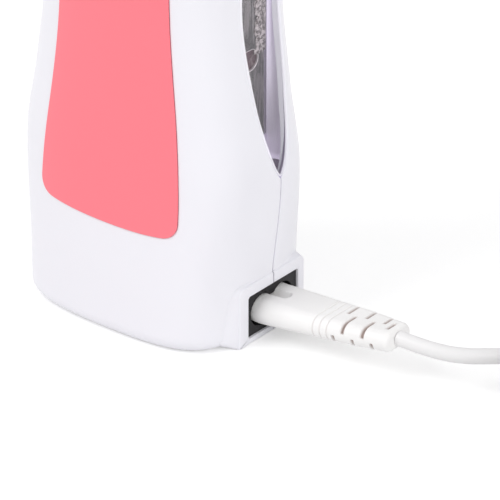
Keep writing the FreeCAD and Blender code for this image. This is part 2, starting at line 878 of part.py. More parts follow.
def draw_rectangle(sketch, width, height, corner):
    """A rounded rectangle, centred in the sketch: four sides joined by four tangent arcs."""
    half_w, half_h, r = 10.0, 6.0, 2.0
    centres = [
        (half_w - r, -half_h + r, -0.5),
        (half_w - r, half_h - r, 0.0),
        (-half_w + r, half_h - r, 0.5),
        (-half_w + r, -half_h + r, 1.0),
    ]
    sides = [
        ((-half_w + r, -half_h), (half_w - r, -half_h)),
        ((half_w, -half_h + r), (half_w, half_h - r)),
        ((half_w - r, half_h), (-half_w + r, half_h)),
        ((-half_w, half_h - r), (-half_w, -half_h + r)),
    ]
    for start, end in sides:
        sketch.addGeometry(Part.LineSegment(Vector(*start, 0), Vector(*end, 0)), False)
    for x, y, turn in centres:
        arc = Part.Circle(Vector(x, y, 0), Vector(0, 0, 1), r)
        sketch.addGeometry(Part.ArcOfCircle(arc, turn * math.pi, (turn + 0.5) * math.pi), False)
    for i in range(4):
        sketch.addConstraint(Sketcher.Constraint("Tangent", i, 2, 4 + i, 1))
        sketch.addConstraint(Sketcher.Constraint("Tangent", 4 + i, 2, (i + 1) % 4, 1))
        sketch.addConstraint(Sketcher.Constraint("Horizontal" if i % 2 == 0 else "Vertical", i))
    for i in (5, 6, 7):
        sketch.addConstraint(Sketcher.Constraint("Equal", 4, i))
    sketch.addConstraint(Sketcher.Constraint("Symmetric", 4, 3, 6, 3, -1, 1))
    measures = (
        (Sketcher.Constraint("Radius", 4, r), corner),
        (Sketcher.Constraint("DistanceX", 3, 1, 1, 1, 2 * half_w), width),
        (Sketcher.Constraint("DistanceY", 0, 1, 2, 1, 2 * half_h), height),
    )
    for constraint, text in measures:
        number = sketch.addConstraint(constraint)
        sketch.setExpression(f"Constraints[{number}]", bound(text))


def pad(body, sketch, name, length):
    """Material added along the sketch's normal."""
    item = body.newObject("PartDesign::Pad", name)
    item.Profile = sketch
    bind(item, Length=length)
    body.Tip = item
    return item


def pocket(body, sketch, name, length):
    """Material cut away against the sketch's normal."""
    item = body.newObject("PartDesign::Pocket", name)
    item.Profile = sketch
    bind(item, Length=length)
    body.Tip = item
    return item


def rounded(body, name, base, edges, radius):
    """Rounds the named edges of the last feature."""
    item = body.newObject("PartDesign::Fillet", name)
    item.Base = (base, edges)
    bind(item, Radius=radius)
    body.Tip = item
    return item


def edge_names(shape, test):
    """Names of the edges that pass a test."""
    return [f"Edge{i}" for i, edge in enumerate(shape.Edges, start=1) if test(edge)]


def base_pad():
    body = body_of("base_pad")
    sketch = sketch_in(body, "pad_outline", "XY_Plane", "0")
    draw_rectangle(sketch, "pad_width", "pad_depth", "pad_corner")
    pad(body, sketch, "pad_sheet", "pad_thickness")


def inlet_socket():
    """Black two-pole socket: a block with a flange behind, and a figure-of-eight well for the connector."""
    body = body_of("inlet_socket")
    face = "well_side + base_side + frame_proud - socket_recess"
    back = face + " - socket_length"
    block = sketch_in(body, "socket_block_outline", "YZ_Plane", back, "0", "inlet_level")
    draw_rectangle(block, "inlet_width - 2 * socket_gap", "inlet_height - 2 * socket_gap", "inlet_corner")
    pad(body, block, "socket_block", "socket_length")
    flange = sketch_in(body, "socket_flange_outline", "YZ_Plane", back, "0", "inlet_level")
    draw_rectangle(
        flange,
        "inlet_width + 2 * socket_flange_lip",
        "inlet_height - 2 * socket_gap",
        "inlet_corner",
    )
    pad(body, flange, "socket_flange", "socket_flange")
    doc.recompute()
    for number, (draw, sizes) in enumerate(
        (
            (draw_circle, ("well_lobe_radius", "-pin_pitch / 2")),
            (draw_circle, ("well_lobe_radius", "pin_pitch / 2")),
            (draw_rectangle, ("pin_pitch", "well_bridge", "inlet_corner")),
        )
    ):
        sketch = sketch_in(body, f"socket_well_outline_{number}", "YZ_Plane", face, "0", "inlet_level")
        draw(sketch, *sizes)
        pocket(body, sketch, f"socket_well_{number}", "well_depth")
    for number, side in enumerate(("-", "")):
        sketch = sketch_in(
            body, f"socket_pin_outline_{number}", "YZ_Plane", face + " - well_depth", "0", "inlet_level"
        )
        draw_circle(sketch, "pin_radius", f"{side}pin_pitch / 2")
        pocket(body, sketch, f"socket_pin_hole_{number}", "socket_length - well_depth")


def power_button():
    """Round push button with a flange behind the shell and a rounded outer edge."""
    body = body_of("power_button")
    back = "button_back"
    flange = sketch_in(body, "button_flange_outline", "XZ_Plane", back, "0", "button_level")
    draw_circle(flange, "button_radius + button_flange")
    pad(body, flange, "button_flange", "button_flange_thickness")
    stem = sketch_in(body, "button_stem_outline", "XZ_Plane", back, "0", "button_level")
    draw_circle(stem, "button_radius")
    stem_pad = pad(body, stem, "button_stem", f"button_face - {back}")
    doc.recompute()
    front = edge_names(stem_pad.Shape, lambda e: abs(e.CenterOfMass.y + button_face) < 1e-3)
    rounded(body, "button_round", stem_pad, front, "button_proud * 0.6")


def control_board():
    """Small circuit board that stands behind the button, with four screw holes."""
    body = body_of("control_board")
    outline = sketch_in(body, "board_outline", "XZ_Plane", "board_back", "0", "board_level")
    draw_rectangle(outline, "board_width", "board_height", "board_hole_margin / 2")
    pad(body, outline, "board_sheet", "board_thickness")
    doc.recompute()
    number = 0
    for right in ("-board_hole_pitch / 2", "board_hole_pitch / 2"):
        for up in ("-(board_height / 2 - board_hole_margin)", "board_height / 2 - board_hole_margin"):
            front = "board_back + board_thickness"
            hole = sketch_in(body, f"board_hole_outline_{number}", "XZ_Plane", front, "0", "board_level")
            draw_circle(hole, "board_screw_radius + board_hole_gap", right, up)
            pocket(body, hole, f"board_hole_{number}", "board_thickness")
            number += 1


flange_low = d.button_level - d.button_radius - d.button_flange
button_face = smooth(d.button_level, "front") + d.panel_proud + d.button_proud
button_back = smooth(flange_low, "front") - d.wall - d.seat_gap - d.button_flange_thickness
for row, (alias, number) in enumerate((("button_face", button_face), ("button_back", button_back)), start=1):
    sheet.set(f"C{row}", f"{number:.5f}")
    sheet.setAlias(f"C{row}", alias)
    SIZES[alias] = number

base_pad()
inlet_socket()
power_button()
control_board()


# ---------------------------------------------------------------- bought-in pieces inside


def inlet_pins():
    """The socket's two contact pins, with rounded tips and tails for the wires."""
    pins = []
    for sign in ("-", ""):
        name = "near" if sign else "far"
        place = (f"{sign}pin_pitch / 2", "inlet_level")
        start = "well_side + base_side + frame_proud - socket_recess - socket_length - pin_tail"
        length = "socket_length + pin_tail - well_depth + pin_length - pin_radius"
        shank = cylinder(f"pin_shank_{name}", "pin_radius", length, start, *place, along=Vector(1, 0, 0))
        tip = doc.addObject("Part::Sphere", f"pin_tip_{name}")
        bind(tip, Radius="pin_radius", x=f"{start} + {length}", y=place[0], z=place[1])
        pins.append(joined(f"pin_{name}", [shank, tip]))
    part(grouped("pin_pair", pins), "inlet_pins")


def tact_switch():
    """Square switch on the board, with a round bore for its plunger."""
    front = "-(board_back + board_thickness)"
    case = box(
        "switch_case",
        "switch_side",
        "switch_height",
        "switch_side",
        "-switch_side / 2",
        f"{front} - switch_height",
        "button_level - switch_side / 2",
    )
    bore = cylinder(
        "switch_bore",
        "switch_plunger_radius + switch_plunger_gap",
        "switch_bore_depth + 1",
        "0",
        f"{front} - switch_height - 1",
        "button_level",
        along=Vector(0, 1, 0),
    )
    part(less("switch_body", case, bore), "tact_switch")


def switch_plunger():
    """The switch's plunger, between the button's back and the bottom of its travel in the bore."""
    part(
        cylinder(
            "plunger_bar",
            "switch_plunger_radius",
            "button_back - board_back - board_thickness - switch_height + switch_bore_depth"
            " - button_travel - switch_plunger_gap",
            "0",
            "-button_back",
            "button_level",
            along=Vector(0, 1, 0),
        ),
        "switch_plunger",
    )


def indicator_led():
    front = "-(board_back + board_thickness)"
    part(
        box(
            "led_block",
            "led_side",
            "led_height",
            "led_side",
            "-led_side / 2",
            f"{front} - led_height",
            "lens_level - led_side / 2",
        ),
        "indicator_led",
    )


def indicator_lens():
    """Clear light pipe from the lamp to the panel, with a collar behind the shell."""
    back = d.board_back + d.board_thickness + d.led_height + d.seat_gap
    skin = smooth(d.lens_level, "front")
    low_skin = smooth(d.lens_level - d.lens_radius - d.lens_flange, "front") - d.wall
    reach = skin + d.panel_proud + d.lens_proud - back
    rod = bar(d.lens_radius, Vector(0, -back, d.lens_level), Vector(0, -1, 0), reach)
    rod = rod.makeFillet(d.lens_proud, edges_facing(rod, -back - reach))
    flange = bar(
        d.lens_radius + d.lens_flange,
        Vector(0, -back, d.lens_level),
        Vector(0, -1, 0),
        low_skin - d.seat_gap - back,
    )
    return rod.fuse(flange)


def board_screws():
    """Four small screws that hold the board to the front shell, heads behind the board."""
    screws = []
    shank_radius = d.board_screw_radius - d.thread_bite / 2
    for x in (-d.board_hole_pitch / 2, d.board_hole_pitch / 2):
        for z in board_hole_levels:
            start = Vector(x, -d.board_back, z)
            head = Part.makeSphere(d.board_screw_head_radius, start).common(
                bar(d.board_screw_head_radius, start, Vector(0, 1, 0), d.board_screw_head_height)
            )
            shank = bar(shank_radius, start, Vector(0, -1, 0), d.board_screw_length)
            screws.append(largest(head.fuse(shank)))
    return Part.makeCompound(screws)


def edges_facing(shape, y):
    """Edges that lie in one upright plane, at a distance behind the seam."""
    return [e for e in shape.Edges if abs(e.CenterOfMass.y - y) < 1e-3 and e.Closed]


def case_screws():
    """Four screws from the rear, down in their counterbores, with a cross recess in each head."""
    screws = []
    seat = d.screw_length - d.screw_bite
    shank_radius = d.screw_radius - d.thread_bite
    for x, z in CASE_BOSSES:
        shank = bar(shank_radius, Vector(x, -d.screw_bite, z), Vector(0, 1, 0), d.screw_length)
        head = bar(d.screw_head_radius, Vector(x, seat, z), Vector(0, 1, 0), d.screw_head_height)
        head = head.makeFillet(d.screw_head_round, edges_facing(head, seat + d.screw_head_height))
        slot_floor = seat + d.screw_head_height - d.cross_depth
        slots = [
            Part.makeBox(w, d.screw_head_height, h, Vector(x - w / 2, slot_floor, z - h / 2))
            for w, h in ((d.cross_length, d.cross_width), (d.cross_width, d.cross_length))
        ]
        screws.append(largest(head.fuse(shank).cut(slots)))
    return Part.makeCompound(screws)


def thermostat():
    """Round snap-action thermostat under the tray, with two blade terminals."""
    top = "well_floor_level - well_floor_thickness - under_floor_gap"
    under_flange = f"{top} - thermostat_flange"
    flange = cylinder(
        "thermostat_flange_disc", "thermostat_flange_radius", "thermostat_flange", "0", "0", under_flange
    )
    can = cylinder(
        "thermostat_can",
        "thermostat_radius",
        "thermostat_height",
        "0",
        "0",
        f"{under_flange} - thermostat_height",
    )
    tabs = [
        box(
            f"thermostat_tab_{name}",
            "thermostat_tab_thickness",
            "thermostat_tab_width",
            "thermostat_tab_length + 1",
            f"{sign}thermostat_tab_offset - thermostat_tab_thickness / 2",
            "-thermostat_tab_width / 2",
            f"{under_flange} - thermostat_height - thermostat_tab_length",
        )
        for name, sign in (("left", "-"), ("right", ""))
    ]
    part(joined("thermostat_body", [flange, can] + tabs), "thermostat")


def thermal_fuse():
    """One-shot fuse in its sleeve, laid along the underside of the tray."""
    level = "well_floor_level - well_floor_thickness - under_floor_gap - fuse_radius"
    place = ("-fuse_offset", "-fuse_length / 2", level)
    sleeve = cylinder("fuse_sleeve", "fuse_radius", "fuse_length", *place, along=Vector(0, 1, 0))
    lead = cylinder(
        "fuse_lead",
        "fuse_lead_radius",
        "fuse_length + 2 * fuse_lead_length",
        "-fuse_offset",
        "-fuse_length / 2 - fuse_lead_length",
        level,
        along=Vector(0, 1, 0),
    )
    part(joined("fuse_body", [sleeve, lead]), "thermal_fuse")


def runs_and_arcs(points, limit=None):
    """A path of straight runs joined by tangent arcs; also gives the arcs' radii.

    Each arc's radius is 0.45 of the shorter run beside it, over the tangent of half the turn.
    """
    edges = []
    radii = []
    start = points[0]
    for before, corner, after in zip(points, points[1:], points[2:]):
        back, ahead = (before - corner), (after - corner)
        turn = math.pi - back.getAngle(ahead)
        cut = 0.45 * min(back.Length, ahead.Length)
        radius = cut / math.tan(turn / 2)
        if limit is not None and radius > limit:
            radius = limit
            cut = radius * math.tan(turn / 2)
        radii.append(radius)
        back.normalize()
        ahead.normalize()
        enter, leave = corner + back * cut, corner + ahead * cut
        inward = back + ahead
        inward.normalize()
        middle = corner + inward * (radius / math.cos(turn / 2) - radius)
        edges.append(Part.LineSegment(start, enter).toShape())
        edges.append(Part.Arc(enter, middle, leave).toShape())
        start = leave
    edges.append(Part.LineSegment(start, points[-1]).toShape())
    return Part.Wire(edges), radii


def tube(points, radius, limit=None):
    """A round tube along a route, with its arcs' radii and the length of its path."""
    path, radii = runs_and_arcs([Vector(*p) for p in points], limit)
    way = path.Edges[0].tangentAt(path.Edges[0].FirstParameter)
    ring = Part.Wire(Part.Circle(path.Edges[0].valueAt(path.Edges[0].FirstParameter), way, radius).toShape())
    return path.makePipeShell([ring], True, False), radii, path.Length


def inlet_wires():
    """Two wires from the socket's pins, up the front wall to the foot of the board."""
    wires = []
    tail = inlet_face - d.socket_length - d.pin_tail
    for sign in (-1, 1):
        y, x = sign * d.pin_pitch / 2, sign * d.inlet_wire_offset
        front_wall = smooth(d.hip_level, "front") - d.wall
        route = [
            (tail, y, d.inlet_level),
            (x + d.wire_slack, y, d.inlet_level),
            (x, d.wire_clearance - front_wall, d.foot_level + d.wire_clearance),
            (x, -d.wire_depth - d.wire_lean, d.hip_level),
            (x, -d.wire_depth, d.waist_level),
            (x, -d.board_back - d.board_thickness / 2, d.board_level - d.board_height / 2),
        ]
        wires.append(tube(route, d.wire_radius, d.wire_bend)[0])
    return Part.makeCompound(wires)


def heater_wires():
    """Two short wires from the foot of the board back to the heater card."""
    wires = []
    card_face = d.well_front + card_inside + d.card_thickness
    foot = d.board_level - d.board_height / 2
    for x in (-d.heater_wire_offset, d.heater_wire_offset):
        route = [
            (x, -d.board_back - d.board_thickness / 2, foot),
            (x, -d.wire_depth, heater_wire_end),
            (x, -card_face, heater_wire_end),
        ]
        wires.append(tube(route, d.wire_radius, d.heater_wire_bend)[0])
    return Part.makeCompound(wires)


inlet_pins()
tact_switch()
switch_plunger()
indicator_led()
feature("indicator_lens", indicator_lens())
feature("board_screws", board_screws())
feature("case_screws", case_screws())
thermostat()
thermal_fuse()
feature("inlet_wires", inlet_wires())
feature("heater_wires", heater_wires())


# ---------------------------------------------------------------- mains lead


def stadium(spread, radius, place):
    """Flat-sided outline in the YZ plane: two half circles joined by straight sides."""
    top, bottom = Vector(0, spread, radius), Vector(0, -spread, radius)
    low_near, low_far = Vector(0, -spread, -radius), Vector(0, spread, -radius)
    edges = [
        Part.LineSegment(top, bottom).toShape(),
        Part.Arc(bottom, Vector(0, -spread - radius, 0), low_near).toShape(),
        Part.LineSegment(low_near, low_far).toShape(),
        Part.Arc(low_far, Vector(0, spread + radius, 0), top).toShape(),
    ]
    wire = Part.Wire(edges)
    wire.Placement = place
    return wire


half_pitch = d.pin_pitch / 2
mouth = Vector(frame_reach, 0, d.inlet_level)
tilt = Rotation(Vector(0, 1, 0), -d.lead_tilt)
lead_place = Placement(mouth, tilt)
lead_end = lead_place.multVec(Vector(d.lead_length, 0, 0))
LEAD_STATIONS = (
    (d.grip_start, half_pitch, d.grip_lobe_radius),
    (d.grip_middle, d.grip_middle_spread, d.lead_mid_lobe_radius),
    (d.relief_start, d.relief_spread, d.relief_lobe_radius),
    (d.lead_length, d.lead_end_spread, d.lead_end_lobe_radius),
)


def lead_core(inset):
    """Outer form of the moulded connector: a straight nose and a tapering grip that rises a little."""
    wires = [
        stadium(half_pitch, d.nose_lobe_radius - inset, Placement(Vector(x, 0, d.inlet_level), Rotation()))
        for x in (inlet_face - d.nose_depth, inlet_face)
    ]
    nose = Part.makeLoft(wires, True, True)
    grip = [wires[-1]]
    for along, spread, radius in LEAD_STATIONS:
        place = Placement(lead_place.multVec(Vector(along, 0, 0)), tilt)
        grip.append(stadium(spread, radius - inset, place))
    return nose, Part.makeLoft(grip, True, False)


def lead_bores(radius, start, length):
    """Two round bars along the socket's pins, from a place inside the nose."""
    places = [Vector(start, side * half_pitch, d.inlet_level) for side in (-1, 1)]
    return [bar(radius, place, Vector(1, 0, 0), length) for place in places]


def relief_slots():
    """Slots across the strain relief, in turn above and below, and longer ones round its sides."""
    width, depth = d.slot_width, d.slot_depth
    slots = []
    for number in range(4):
        along = d.slot_start + d.slot_pitch * number
        half = d.slot_length / 2
        high = Vector(along, -half, d.lead_end_lobe_radius - depth)
        slots.append(Part.makeBox(width, 2 * half, depth + 2, high))
        if number < 3:
            low = Vector(along - d.slot_pitch / 2, -half, -d.lead_end_lobe_radius - 2)
            slots.append(Part.makeBox(width, 2 * half, depth + 2, low))
    side_reach = d.lead_end_spread + d.lead_end_lobe_radius
    for number in range(2):
        along = d.side_slot_start + d.side_slot_pitch * number
        for y in (-side_reach - depth, side_reach - depth):
            corner = Vector(along, y, -d.side_slot_length / 2)
            slots.append(Part.makeBox(width, 2 * depth, d.side_slot_length, corner))
    slots = Part.makeCompound(slots)
    slots.Placement = lead_place
    return slots


def lead_notches():
    """Two V-shaped channels, above and below, that part the nose into its two lobes."""
    notches = []
    start = inlet_face - d.nose_depth - 1
    for side in (-1, 1):
        edge = d.inlet_level + side * (d.nose_lobe_radius + 0.5)
        root = d.inlet_level + side * (d.nose_lobe_radius - d.notch_depth)
        corners = [Vector(start, -d.notch_half_width, edge), Vector(start, d.notch_half_width, edge)]
        corners.append(Vector(start, 0, root))
        face = Part.Face(Part.makePolygon(corners + corners[:1]))
        notches.append(face.extrude(Vector(frame_reach + d.notch_length - start, 0, 0)))
    return notches


def lead_connector():
    """Moulded connector: figure-of-eight nose, three ring grooves and a slotted strain relief."""
    nose, grip = lead_core(0)
    body = nose.fuse(grip)
    into_lead = lead_place.inverse()
    end = [
        e for e in body.Edges if all(into_lead.multVec(v.Point).x > d.lead_length - 1e-3 for v in e.Vertexes)
    ]
    body = body.makeFillet(d.lead_end_round, end)
    rings = []
    for number in range(3):
        along = d.ring_start + d.ring_pitch * number
        slab = Part.makeBox(d.ring_width, 2 * FAR, 2 * FAR, Vector(along, -FAR, -FAR))
        slab.Placement = lead_place
        rings.append(slab)
    rings = Part.makeCompound(rings).common(body).cut(lead_core(d.ring_depth)[1])
    bore = d.pin_radius + d.contact_gap + d.contact_wall
    bores = lead_bores(bore, inlet_face - d.nose_depth - 1, d.nose_depth + 1)
    return largest(body.cut(lead_notches() + [rings, relief_slots()] + bores))


def lead_contacts():
    """Two spring sleeves inside the nose that slide over the socket's pins."""
    inside = d.pin_radius + d.contact_gap
    place = (inlet_face - d.nose_depth + d.contact_inset, d.nose_depth - 2 * d.contact_inset)
    outer = lead_bores(inside + d.contact_wall, *place)
    inner = lead_bores(inside, *place)
    return Part.makeCompound([sleeve.cut(hollow) for sleeve, hollow in zip(outer, inner)])


feature("lead_connector", lead_connector())
feature("lead_contacts", lead_contacts())

cord_radius = d.cord_diameter / 2
for name, route in (("lead_cord", [tuple(lead_end)] + CORD_ROUTE), ("lead_tail", TAIL_ROUTE)):
    solid, radii, length = tube(route, cord_radius)
    feature(name, solid)
    expected = math.pi * cord_radius**2 * length
    print(name, "bends", [round(r, 1) for r in radii], "length", round(length, 1))
    print(name, "volume over section times length", round(solid.Volume / expected, 4))


def lead_coil():
    """Outer shape of the cord's coil: a flat-topped ring."""
    place = ("coil_x", "coil_y", "coil_lift")
    outer = cylinder("coil_outside", "coil_mid_radius + coil_half_width", "coil_height", *place)
    inner = cylinder("coil_inside", "coil_mid_radius - coil_half_width", "coil_height", *place)
    part(less("coil_ring", outer, inner), "lead_coil")


def coil_tie():
    """Flat tie wrapped once round the bundle of turns."""
    width = "2 * (coil_half_width + tie_gap)"
    height = "coil_height + 2 * tie_gap"
    outside = (f"{width} + 2 * tie_thickness", "tie_width", f"{height} + 2 * tie_thickness")
    outer = box("tie_outside", *outside, "0", "0", "0")
    inner = box("tie_inside", width, "tie_width", height, "tie_thickness", "0", "tie_thickness")
    band = less("tie_band", outer, inner)
    angle = math.radians(d.tie_bearing)
    across = d.coil_half_width + d.tie_gap + d.tie_thickness
    corner = Vector(d.coil_mid_radius - across, -d.tie_width / 2, 0)
    turn = Rotation(Vector(0, 0, 1), d.tie_bearing)
    low = d.coil_lift - d.tie_gap - d.tie_thickness
    band.Placement = Placement(Vector(d.coil_x, d.coil_y, low) + turn.multVec(corner), turn)
    part(band, "coil_tie")


def mains_plug():
    """Flat two-pole plug that widens from its neck to the face that carries the pins."""
    neck = Vector(*TAIL_ROUTE[-1])
    turn = Rotation(Vector(0, 0, 1), -90)
    stations = (
        (0.0, d.plug_neck_width, d.plug_neck_thickness),
        (0.3, d.plug_throat_width, d.plug_throat_thickness),
        (0.62, d.plug_shoulder_width, d.plug_shoulder_thickness),
        (1.0, d.plug_width, d.plug_thickness),
    )
    wires = []
    for share, width, thickness in stations:
        place = Placement(neck + Vector(0, -share * d.plug_length, 0), turn)
        wires.append(stadium((width - thickness) / 2, thickness / 2, place))
    body = Part.makeLoft(wires, True, False)
    return largest(body.cut(plug_pin_bars()))


def plug_pin_bars():
    """The plug's two pins, from their roots in the body to their tips."""
    neck = Vector(*TAIL_ROUTE[-1])
    face = neck.y - d.plug_length
    bars = []
    for side in (-1, 1):
        root = Vector(neck.x + side * d.plug_pin_pitch / 2, face + d.plug_pin_root, neck.z)
        length = d.plug_pin_root + d.plug_pin_length
        pin = bar(d.plug_pin_radius, root, Vector(0, -1, 0), length)
        bars.append(pin.makeFillet(d.plug_pin_round, edges_facing(pin, root.y - length)))
    return bars


lead_coil()
coil_tie()
feature("mains_plug", mains_plug())
feature("plug_pins", Part.makeCompound(plug_pin_bars()))


# ---------------------------------------------------------------- checks and files

doc.recompute()
os.makedirs("parts", exist_ok=True)
bad = [item.Name for item in doc.Objects if any(state in ("Invalid", "Error") for state in item.State)]
bad += [item.Label for item in PARTS if item.Shape.isNull() or not item.Shape.isValid()]
if bad:
    raise SystemExit("failed: " + ", ".join(bad))
for item in PARTS:
    item.Shape.exportStep(f"parts/{item.Label}.step")
print(len(PARTS), "sub-parts written")
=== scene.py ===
"""Roll-on wax heater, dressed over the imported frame. Shapes are in millimetres, the scene in metres."""

import bmesh
import bpy
import numpy as np
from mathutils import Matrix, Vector


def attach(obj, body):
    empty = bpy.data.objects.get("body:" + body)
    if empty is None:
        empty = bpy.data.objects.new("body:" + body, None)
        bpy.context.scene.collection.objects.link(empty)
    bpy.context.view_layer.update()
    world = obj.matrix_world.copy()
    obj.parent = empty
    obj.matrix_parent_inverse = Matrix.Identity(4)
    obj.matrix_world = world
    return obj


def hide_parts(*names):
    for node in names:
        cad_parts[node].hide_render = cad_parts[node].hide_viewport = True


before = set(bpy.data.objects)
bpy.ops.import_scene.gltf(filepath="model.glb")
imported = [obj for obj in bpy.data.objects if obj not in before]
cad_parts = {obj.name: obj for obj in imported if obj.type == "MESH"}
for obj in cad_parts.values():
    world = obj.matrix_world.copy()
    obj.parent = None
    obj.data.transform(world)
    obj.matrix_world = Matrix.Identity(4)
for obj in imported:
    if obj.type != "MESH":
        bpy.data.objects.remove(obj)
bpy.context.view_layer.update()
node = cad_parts
MM = 0.001


# ---------------------------------------------------------------- meshes from grids

SHARP_ANGLE, WELD = np.radians(38), 0.000002


def grid_faces(rows, columns, round_rows=False, round_columns=False):
    """Four-sided faces between neighbours of a grid, with rows or columns that may close on themselves."""
    index = np.arange(rows * columns).reshape(rows, columns)
    if round_rows:
        index = np.vstack([index, index[:1]])
    if round_columns:
        index = np.hstack([index, index[:, :1]])
    corners = (index[:-1, :-1], index[1:, :-1], index[1:, 1:], index[:-1, 1:])
    return np.stack([c.reshape(-1) for c in corners], -1)


def ring_shape(rows, facing=1):
    """Closed loops of places, each joined to the next and the last to the first. Facing -1 turns its faces
    round."""
    grid = np.asarray(rows)
    faces = grid_faces(*grid.shape[:2], round_rows=True, round_columns=True)
    return grid.reshape(-1, 3), faces[:, ::facing]


def edge_ring(grid):
    """Outer items of a grid in order: along its first row, up its right, back along its last and down its
    left."""
    return np.concatenate([grid[0, :-1], grid[:-1, -1], grid[-1, :0:-1], grid[:0:-1, 0]])


def block_round(places, x, z, half):
    """The block of a grid that holds a round hole: its lowest and highest row, and its left and right
    column."""
    middle = np.argmin(np.hypot(places[..., 0] - x, places[..., 2] - z))
    row, column = np.unravel_index(middle, places.shape[:2])
    up, over = places[:, column, 2] - z, places[row, :, 0] - x
    return (
        np.flatnonzero(up < -half)[-1],
        np.flatnonzero(up > half)[0],
        np.flatnonzero(over < -half)[-1],
        np.flatnonzero(over > half)[0],
    )


def pierced(up, across, blocks):
    """Faces of a grid without the cells of some blocks, and each block's rim as vertex numbers, in
    order."""
    index = np.arange((up + 1) * (across + 1)).reshape(up + 1, across + 1)
    keep = np.ones((up, across), bool)
    for low, high, left, right in blocks:
        keep[low:high, left:right] = False
    rims = [edge_ring(index[low : high + 1, left : right + 1]) for low, high, left, right in blocks]
    corners = (index[:-1, :-1], index[:-1, 1:], index[1:, 1:], index[1:, :-1])
    return np.stack([c[keep] for c in corners], -1), rims


def plate(front, back, edge_rows, holes=(), facing=1):
    """Closed plate: a front and a back grid, rows of places round their edge, and rows through each round
    hole, which is given by its x and z, half of the block it is cut from, and the function that makes its
    rows."""
    up, across = front.shape[0] - 1, front.shape[1] - 1
    faces, rims = pierced(up, across, [block_round(front, x, z, half) for x, z, half, _ in holes])
    count = (up + 1) * (across + 1)
    places = [front.reshape(-1, 3), back.reshape(-1, 3)]
    polygons = [faces, faces[:, ::-1] + count]
    bands = [(edge_ring(np.arange(count).reshape(up + 1, across + 1))[::-1], edge_rows[:, ::-1])]
    for rim, (x, z, _, make_rows) in zip(rims, holes):
        spot = places[0][rim][:, [0, 2]] - (x, z)
        bands.append((rim, make_rows(spot, spot / np.linalg.norm(spot, axis=1)[:, None])))
    total = 2 * count
    for ring, rows in bands:
        added = rows.shape[0] * rows.shape[1]
        numbers = np.vstack([ring, total + np.arange(added).reshape(rows.shape[:2]), ring + count])
        after = np.roll(numbers, -1, axis=1)
        polygons.append(np.stack([numbers[:-1], after[:-1], after[1:], numbers[1:]], -1).reshape(-1, 4))
        places.append(rows.reshape(-1, 3))
        total += added
    return np.vstack(places), np.vstack(polygons)[:, ::facing]


def strip(front, back, facing):
    """Closed thin strip: a front and a back grid, with one row of places half way between their edges."""
    return plate(front, back, edge_ring((front + back) / 2)[None], facing=facing)


def joined(*shapes):
    """Two or more closed shapes as one mesh: their places one after another, and their faces' numbers moved
    on."""
    faces, start = [], 0
    for places, polygons in shapes:
        faces += [[int(number) + start for number in polygon] for polygon in polygons]
        start += len(places)
    return np.vstack([places for places, _ in shapes]), faces


def mesh_object(name, places, faces, grooves=None):
    """A mesh object from places in metres and faces. Grooves is a value kept at each point for its finish,
    which uses it for painted shade in grooves and a painted glow on edges and lips; places of such a piece
    that coincide are made one."""
    mesh = bpy.data.meshes.new(name)
    mesh.from_pydata(np.asarray(places).tolist(), [], [list(map(int, face)) for face in faces])
    if grooves is not None:
        mesh.attributes.new("groove", "FLOAT", "POINT").data.foreach_set("value", grooves)
        welded = bmesh.new()
        welded.from_mesh(mesh)
        bmesh.ops.remove_doubles(welded, verts=welded.verts, dist=WELD)
        welded.to_mesh(mesh)
        welded.free()
    mesh.polygons.foreach_set("use_smooth", np.ones(len(mesh.polygons), bool))
    mesh.set_sharp_from_angle(angle=SHARP_ANGLE)
    mesh.update()
    made = bpy.data.objects.new(name, mesh)
    bpy.context.scene.collection.objects.link(made)
    return made


def piece(name, shape, body, slot, material, *replaced):
    """A finished piece: its shape in millimetres, the body it rides on, its finish, and the nodes it stands
    for."""
    places, faces, *grooves = shape
    made = mesh_object(name, np.asarray(places) * MM, faces, *grooves)
    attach(made, body)
    made.data.materials.append(material)
    if replaced:
        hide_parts(*replaced)
    return made


# ---------------------------------------------------------------- curves


def eased(low, high, value):
    """Goes from 0 to 1 between two values, level at both."""
    t = np.clip((value - low) / (high - low), 0, 1)
    return t * t * (3 - 2 * t)


def steps(count, start, end):
    """Even steps from a start up to, but without, an end."""
    return np.linspace(start, end, count + 1)[:-1]


def cubic(poles, t):
    """Points of a cubic curve: its four poles weighed by the Bernstein shares."""
    s = 1 - t
    shares = np.stack([s**3, 3 * s * s * t, 3 * s * t * t, t**3], -1)
    return shares @ np.asarray(poles, float)


def smooth_line(stations, values, at):
    """Cubic Hermite pieces through stations: a tangent weighs the slopes on its two sides, and is 0 at a
    turn."""
    stations, values = np.asarray(stations, float), np.asarray(values, float)
    span = np.diff(stations)
    slope = np.diff(values) / span
    inner = (slope[:-1] * span[1:] + slope[1:] * span[:-1]) / (span[:-1] + span[1:])
    inner = np.where(slope[:-1] * slope[1:] <= 0, 0, inner)
    tangent = np.concatenate([slope[:1], inner, slope[-1:]])
    i = np.clip(np.searchsorted(stations, at, side="right") - 1, 0, len(span) - 1)
    t = (at - stations[i]) / span[i]
    low = (2 * t**3 - 3 * t**2 + 1) * values[i] + (t**3 - 2 * t**2 + t) * span[i] * tangent[i]
    high = (3 * t**2 - 2 * t**3) * values[i + 1] + (t**3 - t**2) * span[i] * tangent[i + 1]
    return low + high


def round_edge(radius, count=4):
    """Quarter round: how far back from the edge and how deep, from the skin to the wall of the edge."""
    turn = np.linspace(0, np.pi / 2, count + 1)
    return [(radius * (1 - np.sin(a)), radius * (1 - np.cos(a))) for a in turn]


# ---------------------------------------------------------------- form of the body

